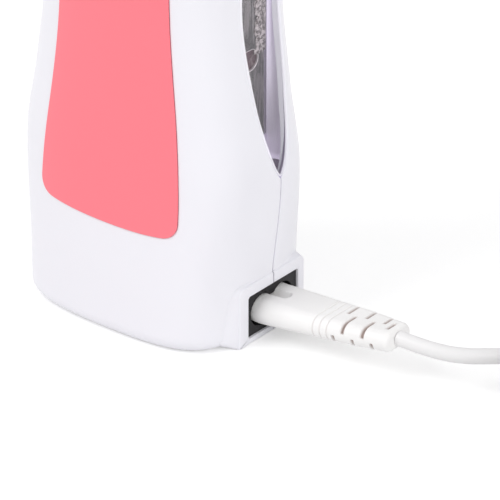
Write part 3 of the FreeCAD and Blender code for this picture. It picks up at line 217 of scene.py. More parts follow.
# The cartridge well's reach to each way, and how much further out the body's skin lies at each level.
WELL = {"side": 26, "front": 17, "rear": 15}
LEVELS = np.array([0.5, 14, 46, 68, 96, 152])
BEYOND_WELL = {
    "side": (8, 8.5, 11.6, 8.5, 5.4, 8.5),
    "front": (12, 11.4, 8.3, 6.4, 5.7, 11),
    "rear": (9.3, 8.4, 5, 4.1, 4.1, 6.5),
}
REACH = {way: WELL[way] + np.array(beyond) for way, beyond in BEYOND_WELL.items()}
SQUARENESS = {"front": 3.5, "rear": 2.85}
HALF_SIGN = {"front": -1, "rear": 1}
BASE_LEVEL, BASE_ROUND, BASE_INSET, WALL, RIM = 0.12, 4.0, 8.0, 2.2, 152.0
# The skin's q where it ends in under the base, and the steps at which a quarter of the plan is read back.
Q_LOW = BASE_LEVEL + BASE_ROUND - BASE_ROUND * np.pi / 2 - BASE_INSET
TABLE = np.linspace(0, 1, 2001)


def reach(way, z):
    """Reach of the skin to one way at a height."""
    return smooth_line(LEVELS, REACH[way], z)


def quarter(t, squareness):
    """Unit quarter of the plan from the side (t = 0) to the front or rear (t = 1): a cubic with equal
    handles."""
    k = (8 * 2 ** (-1 / squareness) - 4) / 3
    s = 1 - t
    return s**3 + 3 * s * s * t + 3 * s * t * t * k, 3 * s * s * t * k + 3 * s * t * t + t**3


def turn_at_width(share, half):
    """The plan's c, from -1 to 1, where the skin is at a share of its half width: the quarter read
    backwards."""
    across = quarter(TABLE, SQUARENESS[half])[0]
    return np.sign(share) * np.interp(np.abs(share), across[::-1], 1 - TABLE[::-1])


def quarter_at_depth(share, half):
    """The quarter's t where the skin is at a share of its depth in front of or behind the seam."""
    return np.interp(share, quarter(TABLE, SQUARENESS[half])[1], TABLE)


def profile(q, depth):
    """Height and inset along the wall: q is the height, then runs round the base's edge and in under it."""
    run = np.clip(BASE_LEVEL + BASE_ROUND - q, 0, None)
    angle = np.clip(run / BASE_ROUND, 0, np.pi / 2)
    under = np.clip(run - BASE_ROUND * np.pi / 2, 0, None)
    z = np.where(run > 0, BASE_LEVEL + BASE_ROUND * (1 - np.sin(angle)), q)
    inset = BASE_ROUND * (1 - np.cos(angle)) + under
    return z + depth * np.sin(angle), inset + depth * np.cos(angle)


def skin(c, q, depth, half):
    """Place on the body: c goes round its plan from side to side, q up its wall, and depth in through
    it."""
    z, inset = profile(q, depth)
    x, y = quarter(1 - np.abs(c), SQUARENESS[half])
    x = np.sign(c) * x * (reach("side", z) - inset)
    y = HALF_SIGN[half] * y * (reach(half, z) - inset)
    return np.stack(np.broadcast_arrays(x, y, z), -1)


def skin_over(x, z, depth, half):
    """Place on the wall over a point of the XZ plane."""
    c = turn_at_width(x / (reach("side", z) - depth), half)
    y = HALF_SIGN[half] * quarter(1 - np.abs(c), SQUARENESS[half])[1] * (reach(half, z) - depth)
    return np.stack(np.broadcast_arrays(x, y, z), -1)


def skin_beside(side, y, z, depth):
    """Place on the narrow side over a point of the YZ plane: each half's quarter, read at its share of the
    depth."""
    low = np.clip(BASE_LEVEL + BASE_ROUND - z, 0, BASE_ROUND)
    inset = depth + BASE_ROUND - np.sqrt(BASE_ROUND**2 - low**2)
    x = np.zeros(np.broadcast(y, z).shape)
    for half, sign in HALF_SIGN.items():
        t = quarter_at_depth(np.abs(y) / (reach(half, z) - inset), half)
        x = np.where(sign * y >= 0, quarter(t, SQUARENESS[half])[0] * (reach("side", z) - inset), x)
    return np.stack(np.broadcast_arrays(side * x, y, z), -1)


# ---------------------------------------------------------------- outlines of panel, windows and seam

# Stretches of the panel's outline: which of its five cubics, in how many steps, from where to where along it.
FOOT_PARTS = ((0, 16, 0, 1), (1, 8, 0, 0.5))
SIDE_PARTS = ((1, 8, 0.5, 1), (2, 48, 0, 1), (3, 40, 0, 1), (4, 10, 0, 0.35))
CROWN_PARTS = ((4, 24, 0.35, 1),)
FOOT_COUNT, UP_COUNT = (sum(part[1] for part in parts) for parts in (FOOT_PARTS, SIDE_PARTS))
ACROSS_COUNT = 2 * FOOT_COUNT
WINDOW_LOW, WINDOW_HIGH, WINDOW_HALF, TIP_GROWTH = 46.0, 147.0, 8.5, 1.33
WINDOW_STEPS, OVER_STEPS = 36, 8
SEAM_GAP, SEAM_ROUND, WINDOW_ROUND = 0.14, 0.34, 0.56
NOTCH_DEPTH, NOTCH_TOP, NOTCH_SLOPE = 11.6, 16.2, 1.2


def panel_loop(grow):
    """Outline of the front panel in the XZ plane, grown by a distance: its right half is five cubics from
    the foot's middle to the crown's, the left half mirrors it, and the loop starts at the lower left
    corner."""
    low, waist, top = 22.8 + grow, 18.0 + grow, 20.5 + grow
    foot, crown, corner = 32.0 - grow, 147.5 + grow, 4.6
    start, dip, bend, neck, shoulder = foot + 5.8, foot + 0.9, foot + 1.2, 99.0, crown - 9.0
    rise, climb, arch = neck - start, shoulder - neck, crown - shoulder
    ways = (
        [(0, foot), (0.3 * low, foot), (0.6 * low, foot + 0.3), (low - corner, dip)],
        [(low - corner, dip), (low - 0.4 * corner, bend), (low, start - 0.6 * corner), (low, start)],
        [(low, start), (low, start + 0.3 * rise), (waist, neck - 0.36 * rise), (waist, neck)],
        [(waist, neck), (waist, neck + 0.3 * climb), (top, shoulder - 0.35 * climb), (top, shoulder)],
        [(top, shoulder), (top, crown - 0.28 * arch), (0.62 * top, crown), (0, crown)],
    )
    parts = FOOT_PARTS + SIDE_PARTS + CROWN_PARTS
    right = [cubic(ways[i], steps(count, begin, end)) for i, count, begin, end in parts]
    right = np.vstack([*right, (0, crown)])
    return np.roll(np.vstack([right, right[-2:0:-1] * (-1, 1)]), FOOT_COUNT, axis=0)


def leaf(grow, count):
    """Edge of the pointed window, from its lower to its upper tip, as distance from the seam and height:
    two cubics."""
    low, high, half = WINDOW_LOW - TIP_GROWTH * grow, WINDOW_HIGH + TIP_GROWTH * grow, WINDOW_HALF + grow
    middle, t = (low + high) / 2, np.linspace(0, 1, count + 1)
    lower, upper = (
        cubic([(0, tip), (0.54 * half, tip + 0.08 * rise), (half, middle - 0.49 * rise), (half, middle)], t)
        for tip, rise in ((low, middle - low), (high, low - middle))
    )
    return np.vstack([lower, upper[-2::-1]])


def side_edge(back, side=1):
    """Edge of a half shell along the seam, round the window and, on the right side, behind the inlet's
    frame: its distance from the seam and its q, a way back from the edge."""
    window = leaf(0.0, WINDOW_STEPS)
    window[:, 0] = np.maximum(window[:, 0], SEAM_GAP)
    under = steps(UP_COUNT + 1 - OVER_STEPS - len(window), Q_LOW, WINDOW_LOW)
    over = np.linspace(WINDOW_HIGH, RIM, OVER_STEPS + 1)[1:]
    notch = NOTCH_DEPTH * np.clip(np.minimum(under, NOTCH_TOP - under) / NOTCH_SLOPE, 0, 1) * (side > 0)
    ends = np.column_stack([SEAM_GAP + notch, under]), np.column_stack([np.full(len(over), SEAM_GAP), over])
    edge = np.vstack([ends[0], window, ends[1]])
    way = np.gradient(edge, axis=0)
    way /= np.linalg.norm(way, axis=1)[:, None]
    normal = np.column_stack([way[:, 1], -way[:, 0]])
    normal[[0, -1]] = (1, 0)
    return edge + np.reshape(back, (-1, 1)) * normal


def edge_radius():
    """Round of a half shell's edge: wider round the window than along the parting line."""
    q = side_edge(0.0)[:, 1]
    beside_window = eased(WINDOW_LOW - 0.5, WINDOW_LOW + 6, q) * (1 - eased(WINDOW_HIGH - 6, WINDOW_HIGH, q))
    return SEAM_ROUND + (WINDOW_ROUND - SEAM_ROUND) * beside_window


def edge_chart(half, back, side):
    """Edge of one side of a half shell as c and q."""
    edge = side_edge(back, side)
    z, inset = profile(edge[:, 1], 0.0)
    c = side * (1 - quarter_at_depth(edge[:, 0] / (reach(half, z) - inset), half))
    return np.column_stack([c, edge[:, 1]])


def panel_chart(grow):
    """The panel's outline as c and q of the front skin."""
    outline = panel_loop(grow)
    c = turn_at_width(outline[:, 0] / reach("side", outline[:, 1]), "front")
    return np.column_stack([c, outline[:, 1]])


# ---------------------------------------------------------------- half shells

# The recess for the panel, and the counterbores and bosses of the four case screws, at these x and z.
PANEL_RECESS, PANEL_LEDGE, PANEL_GAP, RECESS_ROUND = 1.0, 2.6, 0.1, 0.22
BORE_RADIUS, BORE_FLOOR, BORE_CHAMFER, BORE_THROUGH, BORE_LIP = 2.75, 8.0, 0.2, 1.7, 0.3
BOSS_RADIUS, BOSS_HEIGHT, BORE_BLOCK = 4.2, 2.5, 5.2
BORES = ((-15.0, 24.0), (15.0, 24.0), (-24.0, 40.0), (24.0, 40.0))
# Shares of the way from a hole's square block to its round lip.
HOLE_BLEND = (0.35, 0.7, 0.94, 1.0)


def shell_loop(back):
    """Outer edge of the front half in c and q: the foot, the right edge, the rim and the left edge."""
    right, left = edge_chart("front", back, 1), edge_chart("front", back, -1)[::-1]
    across = np.linspace(-1, 1, ACROSS_COUNT + 1)
    foot = np.column_stack([right[0, 0] * across, np.full(len(across), Q_LOW)])
    rim = np.column_stack([right[-1, 0] * across, np.full(len(across), RIM)])[::-1]
    return np.vstack([foot[:-1], right[:-1], rim[:-1], left[:-1]])


def front_skin():
    """Front half shell: a closed ring between the panel's recess and the seam, with its wall's
    thickness."""
    side = edge_radius()
    across = np.ones(ACROSS_COUNT)
    edge_round = np.concatenate([across * side[0], side[:-1], across * side[-1], side[:0:-1]])
    charts = [(panel_chart(PANEL_GAP - PANEL_LEDGE), deep) for deep in (WALL, PANEL_RECESS)]
    charts.append((panel_chart(PANEL_GAP), PANEL_RECESS))
    charts += [(panel_chart(PANEL_GAP + back), deep) for back, deep in round_edge(RECESS_ROUND)[::-1]]
    inner, outer = charts[-1][0], shell_loop(side)
    for share in np.concatenate([[0.004, 0.02], np.linspace(0, 1, 46)[1:-1], [0.985, 0.996]]):
        charts.append(((1 - share) * inner + share * outer, 0.0))
    charts += [(shell_loop(back * side), deep * edge_round) for back, deep in round_edge(1.0)]
    charts.append((shell_loop(0.0), WALL))
    inner, outer = charts[0][0], charts[-1][0]
    charts += [(share * inner + (1 - share) * outer, WALL) for share in np.linspace(0, 1, 20)[1:-1]]
    return ring_shape([skin(chart[:, 0], chart[:, 1], depth, "front") for chart, depth in charts])


def hole_rows(x, z, half, lip, levels, end):
    """Rows of a round hole: from its block on the skin to its rounded lip (radius, rounding, depth), along
    its levels (distance from the seam, radius), and to its end (depth in the wall, radius)."""
    radius, rounding, outside = lip

    def on_skin(spots, depth):
        return skin_over(x + spots[:, 0], z + spots[:, 1], depth, half)

    def make_rows(spot, way):
        rim = way * (radius + rounding)
        rows = [on_skin((1 - share) * spot + share * rim, outside) for share in HOLE_BLEND]
        rows += [on_skin(way * (radius + back), outside + deep) for back, deep in round_edge(rounding)[1:]]
        for level, size in levels:
            spots = way * size + (x, z)
            rows.append(np.column_stack([spots[:, 0], np.full(len(spots), level), spots[:, 1]]))
        return np.stack(rows + [on_skin(way * end[1], end[0])])

    return make_rows


def rear_grid(depth, back):
    """The rear skin as a grid: c runs evenly between its two edges on each level."""
    right, left = edge_chart("rear", back, 1)[:, None], edge_chart("rear", back, -1)[:, None]
    share = np.linspace(0, 1, 73)[:, None]
    chart = (1 - share) * left + share * right
    return skin(chart[..., 0], chart[..., 1], depth, "rear")


def rear_skin():
    """Rear half shell: skin and inner side, rounded edges, and four counterbored holes in bosses."""
    radius = edge_radius()
    rows = [edge_ring(rear_grid(deep * radius[:, None], back * radius)) for back, deep in round_edge(1.0)[1:]]
    levels = (
        (BORE_FLOOR + BORE_CHAMFER, BORE_RADIUS),
        (BORE_FLOOR, BORE_RADIUS - BORE_CHAMFER),
        (BORE_FLOOR, BORE_THROUGH),
        (BORE_FLOOR - BOSS_HEIGHT, BORE_THROUGH),
        (BORE_FLOOR - BOSS_HEIGHT, BOSS_RADIUS),
    )
    lip, end = (BORE_RADIUS, BORE_LIP, 0.0), (WALL, BOSS_RADIUS)
    holes = [(x, z, BORE_BLOCK, hole_rows(x, z, "rear", lip, levels, end)) for x, z in BORES]
    return plate(rear_grid(0.0, radius), rear_grid(WALL, 0.0), np.stack(rows), holes, -1)


# ---------------------------------------------------------------- inlet frame

FRAME_REACH, FRAME_ROOT, FRAME_TOP, FRAME_GAP = 35.1, 20.0, 17.6, 0.2
FRAME_HALF = {"front": 14.2, "rear": 13.0}
# Of an outline: its lower and upper level, and the rounds of its lower and upper corner.
FRAME_OUTLINE = (BASE_LEVEL, FRAME_TOP, 0.3, 2.0)
OPENING_HALF, OPENING_OUTLINE = 10.35, (1.85, 14.25, 0.8, 0.8)
OPENING_ROUND, OUTLINE_ROUND = 0.3, 0.55
FLANK_REACH, FLANK_FLARE, TOP_FLARE, FOOT_LIFT = 0.9, 3.4, 0.5, 3.2


def frame_loop(half, low, high, round_low, round_high):
    """Half of a rounded rectangle in the YZ plane, from its foot's middle to its top's, and the way out at
    each point."""
    turn, run = np.linspace(0, np.pi / 2, 9), np.linspace(0, 1, 13)[:, None]
    inner_low, inner_high = np.array([round_low - half, low]), np.array([round_high - half, high])
    foot = np.array([-FRAME_GAP, low]) * (1 - run) + inner_low * run
    side = np.array([-half, low + round_low]) * (1 - run) + np.array([-half, high - round_high]) * run
    top = inner_high * (1 - run) + np.array([-FRAME_GAP, high]) * run
    way_low = np.column_stack([-np.sin(turn), -np.cos(turn)])
    way_high = np.column_stack([-np.cos(turn), np.sin(turn)])
    corner_low = inner_low + (0, round_low) + round_low * way_low
    corner_high = inner_high - (0, round_high) + round_high * way_high
    places = np.vstack([foot[:-1], corner_low, side[1:-1], corner_high, top[1:]])
    runs = len(run) - 1
    ways = np.vstack([[[0, -1]] * runs, way_low, [[-1, 0]] * (runs - 1), way_high, [[0, 1]] * runs])
    return places, ways


def inlet_frame(half):
    """Half of the inlet's frame: its section runs from the opening over a flat face and a rounded edge to
    the skin, to which its flanks flare out towards the foot, and it is carried round the opening."""
    opening, opening_way = frame_loop(OPENING_HALF, *OPENING_OUTLINE)
    outline, way = frame_loop(FRAME_HALF[half], *FRAME_OUTLINE)
    sign, level = -HALF_SIGN[half], outline[:, 1]
    root, face = np.full(len(opening), FRAME_ROOT), np.full(len(opening), FRAME_REACH)

    def skin_x(spots):
        return skin_beside(1, -sign * np.abs(spots[:, 0]), spots[:, 1], 0.0)[:, 0]

    rows = [(opening, root)]
    rows += [(opening + back * opening_way, face - deep) for back, deep in round_edge(OPENING_ROUND)[::-1]]
    rows += [(outline - back * way, face - deep) for back, deep in round_edge(OUTLINE_ROUND)]
    flank = np.abs(way[:, 0]) ** 3
    flare = (1 - flank) * TOP_FLARE * eased(9, 17, level)
    flare = flare + flank * (FLANK_REACH + FLANK_FLARE * (1 - level / FRAME_TOP))
    lift = flank * np.maximum(0, FOOT_LIFT - level)
    start = np.maximum(FRAME_REACH - OUTLINE_ROUND, skin_x(outline) + 0.02)
    for share in np.linspace(0, 1, 7)[1:]:
        spots = outline + share * flare[:, None] * way + share * lift[:, None] * (0, 1)
        rows.append((spots, (1 - share) * start + share * (skin_x(spots) - 0.03)))
    rows.append((outline - 0.4 * way, root))
    grid = np.stack([np.column_stack([x, sign * spots[:, 0], spots[:, 1]]) for spots, x in rows])
    grid[..., 2] = np.maximum(grid[..., 2], BASE_LEVEL)
    faces = grid_faces(*grid.shape[:2], round_rows=True).tolist()
    numbers = np.arange(grid.shape[0] * grid.shape[1]).reshape(grid.shape[:2])
    faces += [numbers[::-1, 0].tolist(), numbers[:, -1].tolist()]
    return grid.reshape(-1, 3), faces if half == "rear" else [face[::-1] for face in faces]


# ---------------------------------------------------------------- front panel

PANEL_PROUD, PANEL_BACK, PANEL_ROUND, PANEL_PLAY = 0.4, 1.0, 0.26, 0.05
# Height, half of the block it is cut from, radius and rounding of the button's and the lens's hole.
PANEL_HOLES = ((130.0, 7.2, 6.25, 0.3), (141.0, 2.6, 1.7, 0.2))


def panel_grid(grow, depth):
    """The panel as a grid over its four edges: the two pairs of edges blended, less the blend of its
    corners."""
    loop = panel_chart(grow)
    loop = np.vstack([loop, loop[:1]])
    foot, right = loop[: ACROSS_COUNT + 1], loop[ACROSS_COUNT : ACROSS_COUNT + UP_COUNT + 1]
    crown = loop[ACROSS_COUNT + UP_COUNT : 2 * ACROSS_COUNT + UP_COUNT + 1][::-1]
    left = loop[2 * ACROSS_COUNT + UP_COUNT :][::-1]
    u = np.linspace(0, 1, ACROSS_COUNT + 1)[None, :, None]
    v = np.linspace(0, 1, UP_COUNT + 1)[:, None, None]
    ends = (1 - v) * foot[None] + v * crown[None]
    sides = (1 - u) * left[:, None] + u * right[:, None]
    corners = (1 - v) * ((1 - u) * foot[0] + u * foot[-1]) + v * ((1 - u) * crown[0] + u * crown[-1])
    chart = ends + sides - corners
    return skin(chart[..., 0], chart[..., 1], depth, "front")


def front_panel():
    """Coloured panel: it follows the skin a little proud of it, with rounded edges and holes for button and
    lens."""
    edges = [(PANEL_PLAY - back, deep - PANEL_PROUD) for back, deep in round_edge(PANEL_ROUND)[1:]]
    edges.append((0.0, PANEL_BACK - PANEL_PLAY))
    rows = np.stack([edge_ring(panel_grid(grow, depth)) for grow, depth in edges])
    holes = []
    for z, block, radius, rounding in PANEL_HOLES:
        lip, end = (radius, rounding, -PANEL_PROUD), (PANEL_BACK, radius)
        holes.append((0.0, z, block, hole_rows(0.0, z, "front", lip, (), end)))
    front, back = panel_grid(PANEL_PLAY - PANEL_ROUND, -PANEL_PROUD), panel_grid(0.0, PANEL_BACK)
    return plate(front, back, rows, holes)


# ---------------------------------------------------------------- windows, and what shows behind them

PANE_GAP, PANE_SUNK, PANE_BEVEL = 0.34, 0.2, 0.5
SEAT_WIDTH, SEAT_FACE, SEAT_BACK = 0.36, 0.85, 1.5
TONGUE_HALF, TONGUE_FACE, TONGUE_BACK = 0.7, 0.45, 1.5
TONGUE_FOOT = {1: 17.9, -1: 4.6}
# The liner's edge, where a return wall starts, and how far from the window's edge it ends.
LINER_X, LINER_Y, RETURN_BESIDE = 27.6, 6.2, 0.7
RETURN_WALL, RETURN_BOW, RETURN_SLOPE = 0.6, 0.5, 3.5
RETURN_FOOT, RETURN_ROLL, RETURN_TOP, RETURN_ROWS = 50.0, 1.5, 148.0, 70
POCKET_LOW, POCKET_SET_BACK, POCKET_ROWS = 40.0, 2.6, 12
FOIL_LOW, FOIL_HIGH, FOIL_REAR, FOIL_WIDTH = 78.6, 146.8, 5.28, 4.3
FOIL_X, FOIL_RAISED, FOIL_THICK = 28.06, 0.32, 0.1
# Share, and waves up and across, of each of the sines that crumple the foil.
CRUMPLES = ((0.10, 1.1, 1.9), (0.07, 2.9, 1.7), (0.05, 4.3, 5.3), (0.03, 7.9, 6.1))
SIGHT_Y, SIGHT_Z, SIGHT_RADIUS, SIGHT_FLAT = -0.7, 77.5, 2.85, 1.5
COLLAR_RADIUS, COLLAR_FACE, COLLAR_BACK, COLLAR_ROUND = 4.35, 27.98, 27.42, 0.15


def window_grid(side, grow, depth):
    """The window's leaf as a grid: straight rows from its front to its rear edge, up its height."""
    edge = leaf(grow, 44)
    half = np.maximum(edge[:, :1], 0.12)
    return skin_beside(side, half * np.linspace(-1, 1, 19), edge[:, 1:], depth)


def window(side):
    """Clear pane: it lies a little below the skin, with a bevelled edge. Its attribute is 1 on the bevel,
    0.15 on the edge behind it and 0 on both faces; where it is high, the finish makes the edge frosted and
    paints a white glow on it, a painted highlight."""
    edges = [(back, PANE_SUNK + deep) for back, deep in round_edge(PANE_BEVEL, 3)[1:]] + [(0.0, WALL - 0.2)]
    rows = np.stack([edge_ring(window_grid(side, -PANE_GAP - back, deep)) for back, deep in edges])
    front = window_grid(side, -PANE_GAP - PANE_BEVEL, PANE_SUNK)
    back = window_grid(side, -PANE_GAP, WALL - 0.1)
    places, faces = plate(front, back, rows, facing=side)
    flat, ring = (front.size + back.size) // 3, rows.shape[1]
    return places, faces, np.concatenate([np.zeros(flat), np.ones(3 * ring), np.full(ring, 0.15)])


def window_seat(side):
    """Narrow ring in the gap round the pane, a little below its face: its section is a flat strip. Its dark
    violet colour is painted shade, standing for the shadow in that gap.
    """
    section = ((0, SEAT_BACK), (0, SEAT_FACE), (-SEAT_WIDTH, SEAT_FACE), (-SEAT_WIDTH, SEAT_BACK))
    return ring_shape([edge_ring(window_grid(side, grow, deep)) for grow, deep in section], -side)


def seam_tongue(side):
    """Tongue of the two half shells' joint, seen in the gap between them: a strip along the seam inside the
    wall, under the window and over it. Its darker lilac colour is painted shade, standing for the shadow in
    the gap."""
    strips = []
    for low, high in ((TONGUE_FOOT[side], WINDOW_LOW + 0.6), (WINDOW_HIGH - 0.6, RIM - 1.2)):
        level, across = np.linspace(low, high, 24)[:, None], np.linspace(-TONGUE_HALF, TONGUE_HALF, 5)
        faces = (skin_beside(side, across, level, depth) for depth in (TONGUE_FACE, TONGUE_BACK))
        strips.append(strip(*faces, side))
    return joined(*strips)


def return_sheet(side, level, forward):
    """Wall behind the pane: straight from the liner's edge out to the rear shell at each level, bowed a
    little to the rear, moved forward by some distance at each level, and lower at the liner than at the
    shell near its foot."""
    edge = leaf(0.0, 44)
    beside = np.interp(level, edge[:, 1], edge[:, 0])[:, None] + RETURN_BESIDE
    outer = skin_beside(1, beside, level[:, None], WALL)[..., 0] + 0.3
    u = np.linspace(0, 1, 15)
    z = level[:, None] - RETURN_SLOPE * (1 - u) * (1 - eased(50, 72, level))[:, None]

    def sheet(depth):
        x = (1 - u) * LINER_X + u * outer - depth
        y = (1 - u) * LINER_Y + u * beside + RETURN_BOW * np.sin(np.pi * u) - forward[:, None] + depth
        return np.stack(np.broadcast_arrays(side * x, y, z), -1)

    return strip(sheet(0.0), sheet(RETURN_WALL), side)


def return_wall(side):
    """Milky wall behind the pane, whose foot rolls forward into a lip: forward = roll (1 - cos), level = -
    roll sin. Its attribute is 1 along the lip, whose height follows the slope from the liner (1) to the
    shell (0); there its finish paints a brighter glow, a painted highlight."""
    turn = np.linspace(np.radians(80), 0, 9)[:-1]
    lip, straight = RETURN_FOOT + RETURN_ROLL * (1 - np.sin(turn)), RETURN_FOOT + RETURN_ROLL
    level = np.concatenate([lip, np.linspace(straight, RETURN_TOP, RETURN_ROWS)])
    forward = np.concatenate([RETURN_ROLL * (1 - np.cos(turn)), np.zeros(RETURN_ROWS)])
    places, faces = return_sheet(side, level, forward)
    near_liner = np.clip((np.abs(places[:, 1]) - RETURN_BESIDE) / (LINER_Y - RETURN_BESIDE), 0, 1)
    above = places[:, 2] + RETURN_SLOPE * near_liner - RETURN_FOOT
    return places, faces, eased(0.0, 1.0, above) * (1 - eased(1.2, 2.6, above))


def return_pocket(side):
    """Darker wall under the lip, set back behind it: its dark colour is painted shade, standing for the
    shadow below the lip, and its finish adds a faint painted glow.
    """
    level = np.linspace(POCKET_LOW, RETURN_FOOT + RETURN_ROLL, POCKET_ROWS)
    return return_sheet(side, level, np.full(POCKET_ROWS, -POCKET_SET_BACK))


def foil_strip(side):
    """Crumpled tape over the guard's rear edge: a thin strip whose front edge wanders and whose face is
    raised by crossed sine waves of four lengths, smaller towards its edges."""
    level = np.linspace(FOIL_LOW, FOIL_HIGH, 220)[:, None]
    u = np.linspace(0, 1, 17)
    edge = 0.35 * np.sin(0.9 * level) + 0.25 * np.sin(2.3 * level + 1) + 0.15 * np.sin(5.1 * level + 2)
    y = FOIL_REAR - (FOIL_WIDTH + edge) * (1 - u)
    crumple = sum(
        share * np.sin(a * level + b * y + 7 * share) * np.sin(0.7 * b * level - a * y + 3 * share)
        for share, a, b in CRUMPLES
    )
    x = FOIL_X + (FOIL_RAISED + crumple) * np.sin(np.pi * u) ** 0.3
    front = np.stack(np.broadcast_arrays(side * x, y, level), -1)
    return strip(front, front - (side * FOIL_THICK, 0, 0), side)


def sight_loop(radius):
    """D of the sight hole in the YZ plane: half a circle to the rear, then straight runs to a flat front
    end."""
    turn, run = np.linspace(-np.pi / 2, np.pi / 2, 33), np.linspace(0, 1, 9)[1:, None]
    arc = np.column_stack([np.cos(turn), np.sin(turn)]) * radius
    corner = np.array([-radius - SIGHT_FLAT, radius])
    top = (0, radius) * (1 - run) + corner * run
    end = corner * (1 - run) + corner * (1, -1) * run
    return np.vstack([arc, top, end, top[-2::-1] * (1, -1)]) + (SIGHT_Y, SIGHT_Z)


def sight_ring(side):
    """Collar pressed into the guard's sight hole: its section is a flat with a rounded inner edge, round
    the D."""
    rounded = [(SIGHT_RADIUS + back, COLLAR_FACE - deep) for back, deep in round_edge(COLLAR_ROUND)]
    section = [(COLLAR_RADIUS, COLLAR_BACK), (COLLAR_RADIUS, COLLAR_FACE), (SIGHT_RADIUS + 0.2, COLLAR_FACE)]
    section += rounded + [(SIGHT_RADIUS, COLLAR_BACK)]
    loops = [(sight_loop(radius), x) for radius, x in section]
    return ring_shape([np.column_stack([np.full(len(loop), side * x), loop]) for loop, x in loops], -side)


# ---------------------------------------------------------------- connector

# Where the connector meets the inlet's mouth, how far it turns up, and the ends of its stretches from there.
MOUTH_X, MOUTH_Z, LEAD_TILT = 35.1, 8.05, np.radians(5.9)
NOSE_BACK, NOSE_END, CHANNEL_END, GRIP_START = -11.7, -0.2, 6.4, 18
LEAD_LENGTH, LEAD_END_ROUND = 41.6, 1.3
# Spread between its two lobes and their radius, at stations along it.
LEAD_STATIONS = (-12, 0, 8, 17, 29, LEAD_LENGTH)
LOBE_SPREAD = (4.3, 4.3, 4.3, 4.2, 3.6, 2.5)
LOBE_RADIUS = (3.65, 3.65, 3.45, 3.15, 3.1, 2.9)
# Places along it of the ring grooves and slots, and their depths.
RING_GROOVES, RING_DEPTH = (18.6, 20.8, 23.0), 0.34
REAR_TOP_SLOTS, FRONT_TOP_SLOTS, SLOT_DEPTH = (25.0, 31.0, 36.8), (28.0, 34.1), 1.15
END_SLOT, END_SLOT_DEPTH = 39.4, 1.1
CHANNEL_LENGTH, CHANNEL_DEPTH = 4.2, 2.0
FLAT_STEPS, ARC_STEPS, CLOSING_ROWS, RUN_COUNTS = 24, 52, 4, (25, 44, 21, 149)


def slot_across(s, place, width=0.95):
    """Groove across the sleeve at a place along it, with soft edges: 1 in its floor."""
    return 1 - eased(width / 2 - 0.16, width / 2 + 0.1, np.abs(s - place))


def relief(s, y, z):
    """Depth of the sleeve's grooves at its places: rings all round, and slots in turn on quarters of its
    section. Then the depth of the round-ended channels that part the nose into two lobes."""
    near_rear = eased(0.0, 0.35, y * np.sign(z)) * eased(0.25, 0.6, np.abs(z))
    near_front = eased(0.0, 0.35, -y * np.sign(z)) * eased(0.5, 0.9, np.abs(z))
    at_end = 1 - eased(1.7, 2.0, np.abs(y))
    marks = [RING_DEPTH * (1 - eased(0.05, 0.34, np.abs(s - place))) for place in RING_GROOVES]
    marks += [SLOT_DEPTH * slot_across(s, place) * near_rear for place in REAR_TOP_SLOTS]
    marks += [SLOT_DEPTH * slot_across(s, place, 1.1) * near_front for place in FRONT_TOP_SLOTS]
    marks.append(END_SLOT_DEPTH * slot_across(s, END_SLOT) * at_end)
    channel = 1 - eased(0.6, 1.9, np.hypot(np.clip(s - CHANNEL_LENGTH, 0, None), y))
    return np.max(np.broadcast_arrays(*marks), axis=0), CHANNEL_DEPTH * channel


def connector_section():
    """Section of two lobes joined by flats: each point's share of the spread between the lobes, and its
    angle."""
    flat, arc = steps(FLAT_STEPS, 1, -1), steps(ARC_STEPS, 0, np.pi)
    share = np.concatenate([flat, np.full(ARC_STEPS, -1.0), -flat, np.full(ARC_STEPS, 1.0)])
    turn = np.concatenate([np.zeros(FLAT_STEPS), arc, np.full(FLAT_STEPS, np.pi), np.pi + arc])
    return share, turn + np.pi / 2


def connector_run():
    """Places along the connector, closer together where it has grooves, and how much the rounded end
    narrows it."""
    ends = (NOSE_BACK, NOSE_END, CHANNEL_END, GRIP_START, LEAD_LENGTH - LEAD_END_ROUND)
    stretches = zip(ends, ends[1:], RUN_COUNTS)
    runs = [np.linspace(low, high, count + 1)[1:] for low, high, count in stretches]
    turn = np.linspace(0, np.pi / 2, 8)[1:]
    s = np.concatenate([[NOSE_BACK], *runs, ends[-1] + LEAD_END_ROUND * np.sin(turn)])
    narrowed = LEAD_END_ROUND * (1 - np.cos(turn))
    return s, np.concatenate([np.zeros(len(s) - len(turn)), narrowed])


def connector():
    """Moulded connector: a section of two lobes joined by flats is carried along a line that turns up a
    little, with its grooves pressed in, a rounded rear end and a flat nose. Gives each point's depth in a
    groove too, which its finish uses for painted shade."""
    share, turn = connector_section()
    s, narrowed = connector_run()
    middle = share * smooth_line(LEAD_STATIONS, LOBE_SPREAD, s)[:, None]
    radius = (smooth_line(LEAD_STATIONS, LOBE_RADIUS, s) - narrowed)[:, None]
    groove, channel = relief(s[:, None], middle + radius * np.cos(turn), radius * np.sin(turn))
    inner = radius - np.maximum(groove, channel)
    y, z = middle + inner * np.cos(turn), inner * np.sin(turn)
    closing = np.linspace(1, 0, CLOSING_ROWS + 1)[1:, None]
    nose_y, end_y = (middle[i] + closing * (y[i] - middle[i]) for i in (0, -1))
    nose_z, end_z = closing * z[0], closing * z[-1]
    y, z = np.vstack([nose_y[::-1], y, end_y]), np.vstack([nose_z[::-1], z, end_z])
    s = np.pad(s, CLOSING_ROWS, "edge")[:, None]
    groove = np.pad(groove, ((CLOSING_ROWS, CLOSING_ROWS), (0, 0)))
    tilt, run = LEAD_TILT * eased(-2, 2, s), np.clip(s, 0, None)
    x = MOUTH_X + s - 0.5 * run * np.tan(LEAD_TILT) * np.sin(tilt) - z * np.sin(tilt)
    places = np.stack([x, y, MOUTH_Z + run * np.sin(LEAD_TILT) + z * np.cos(tilt)], -1)
    faces = grid_faces(*places.shape[:2], round_columns=True)[:, ::-1]
    return places.reshape(-1, 3), faces, groove.ravel()


# ---------------------------------------------------------------- coil and tie

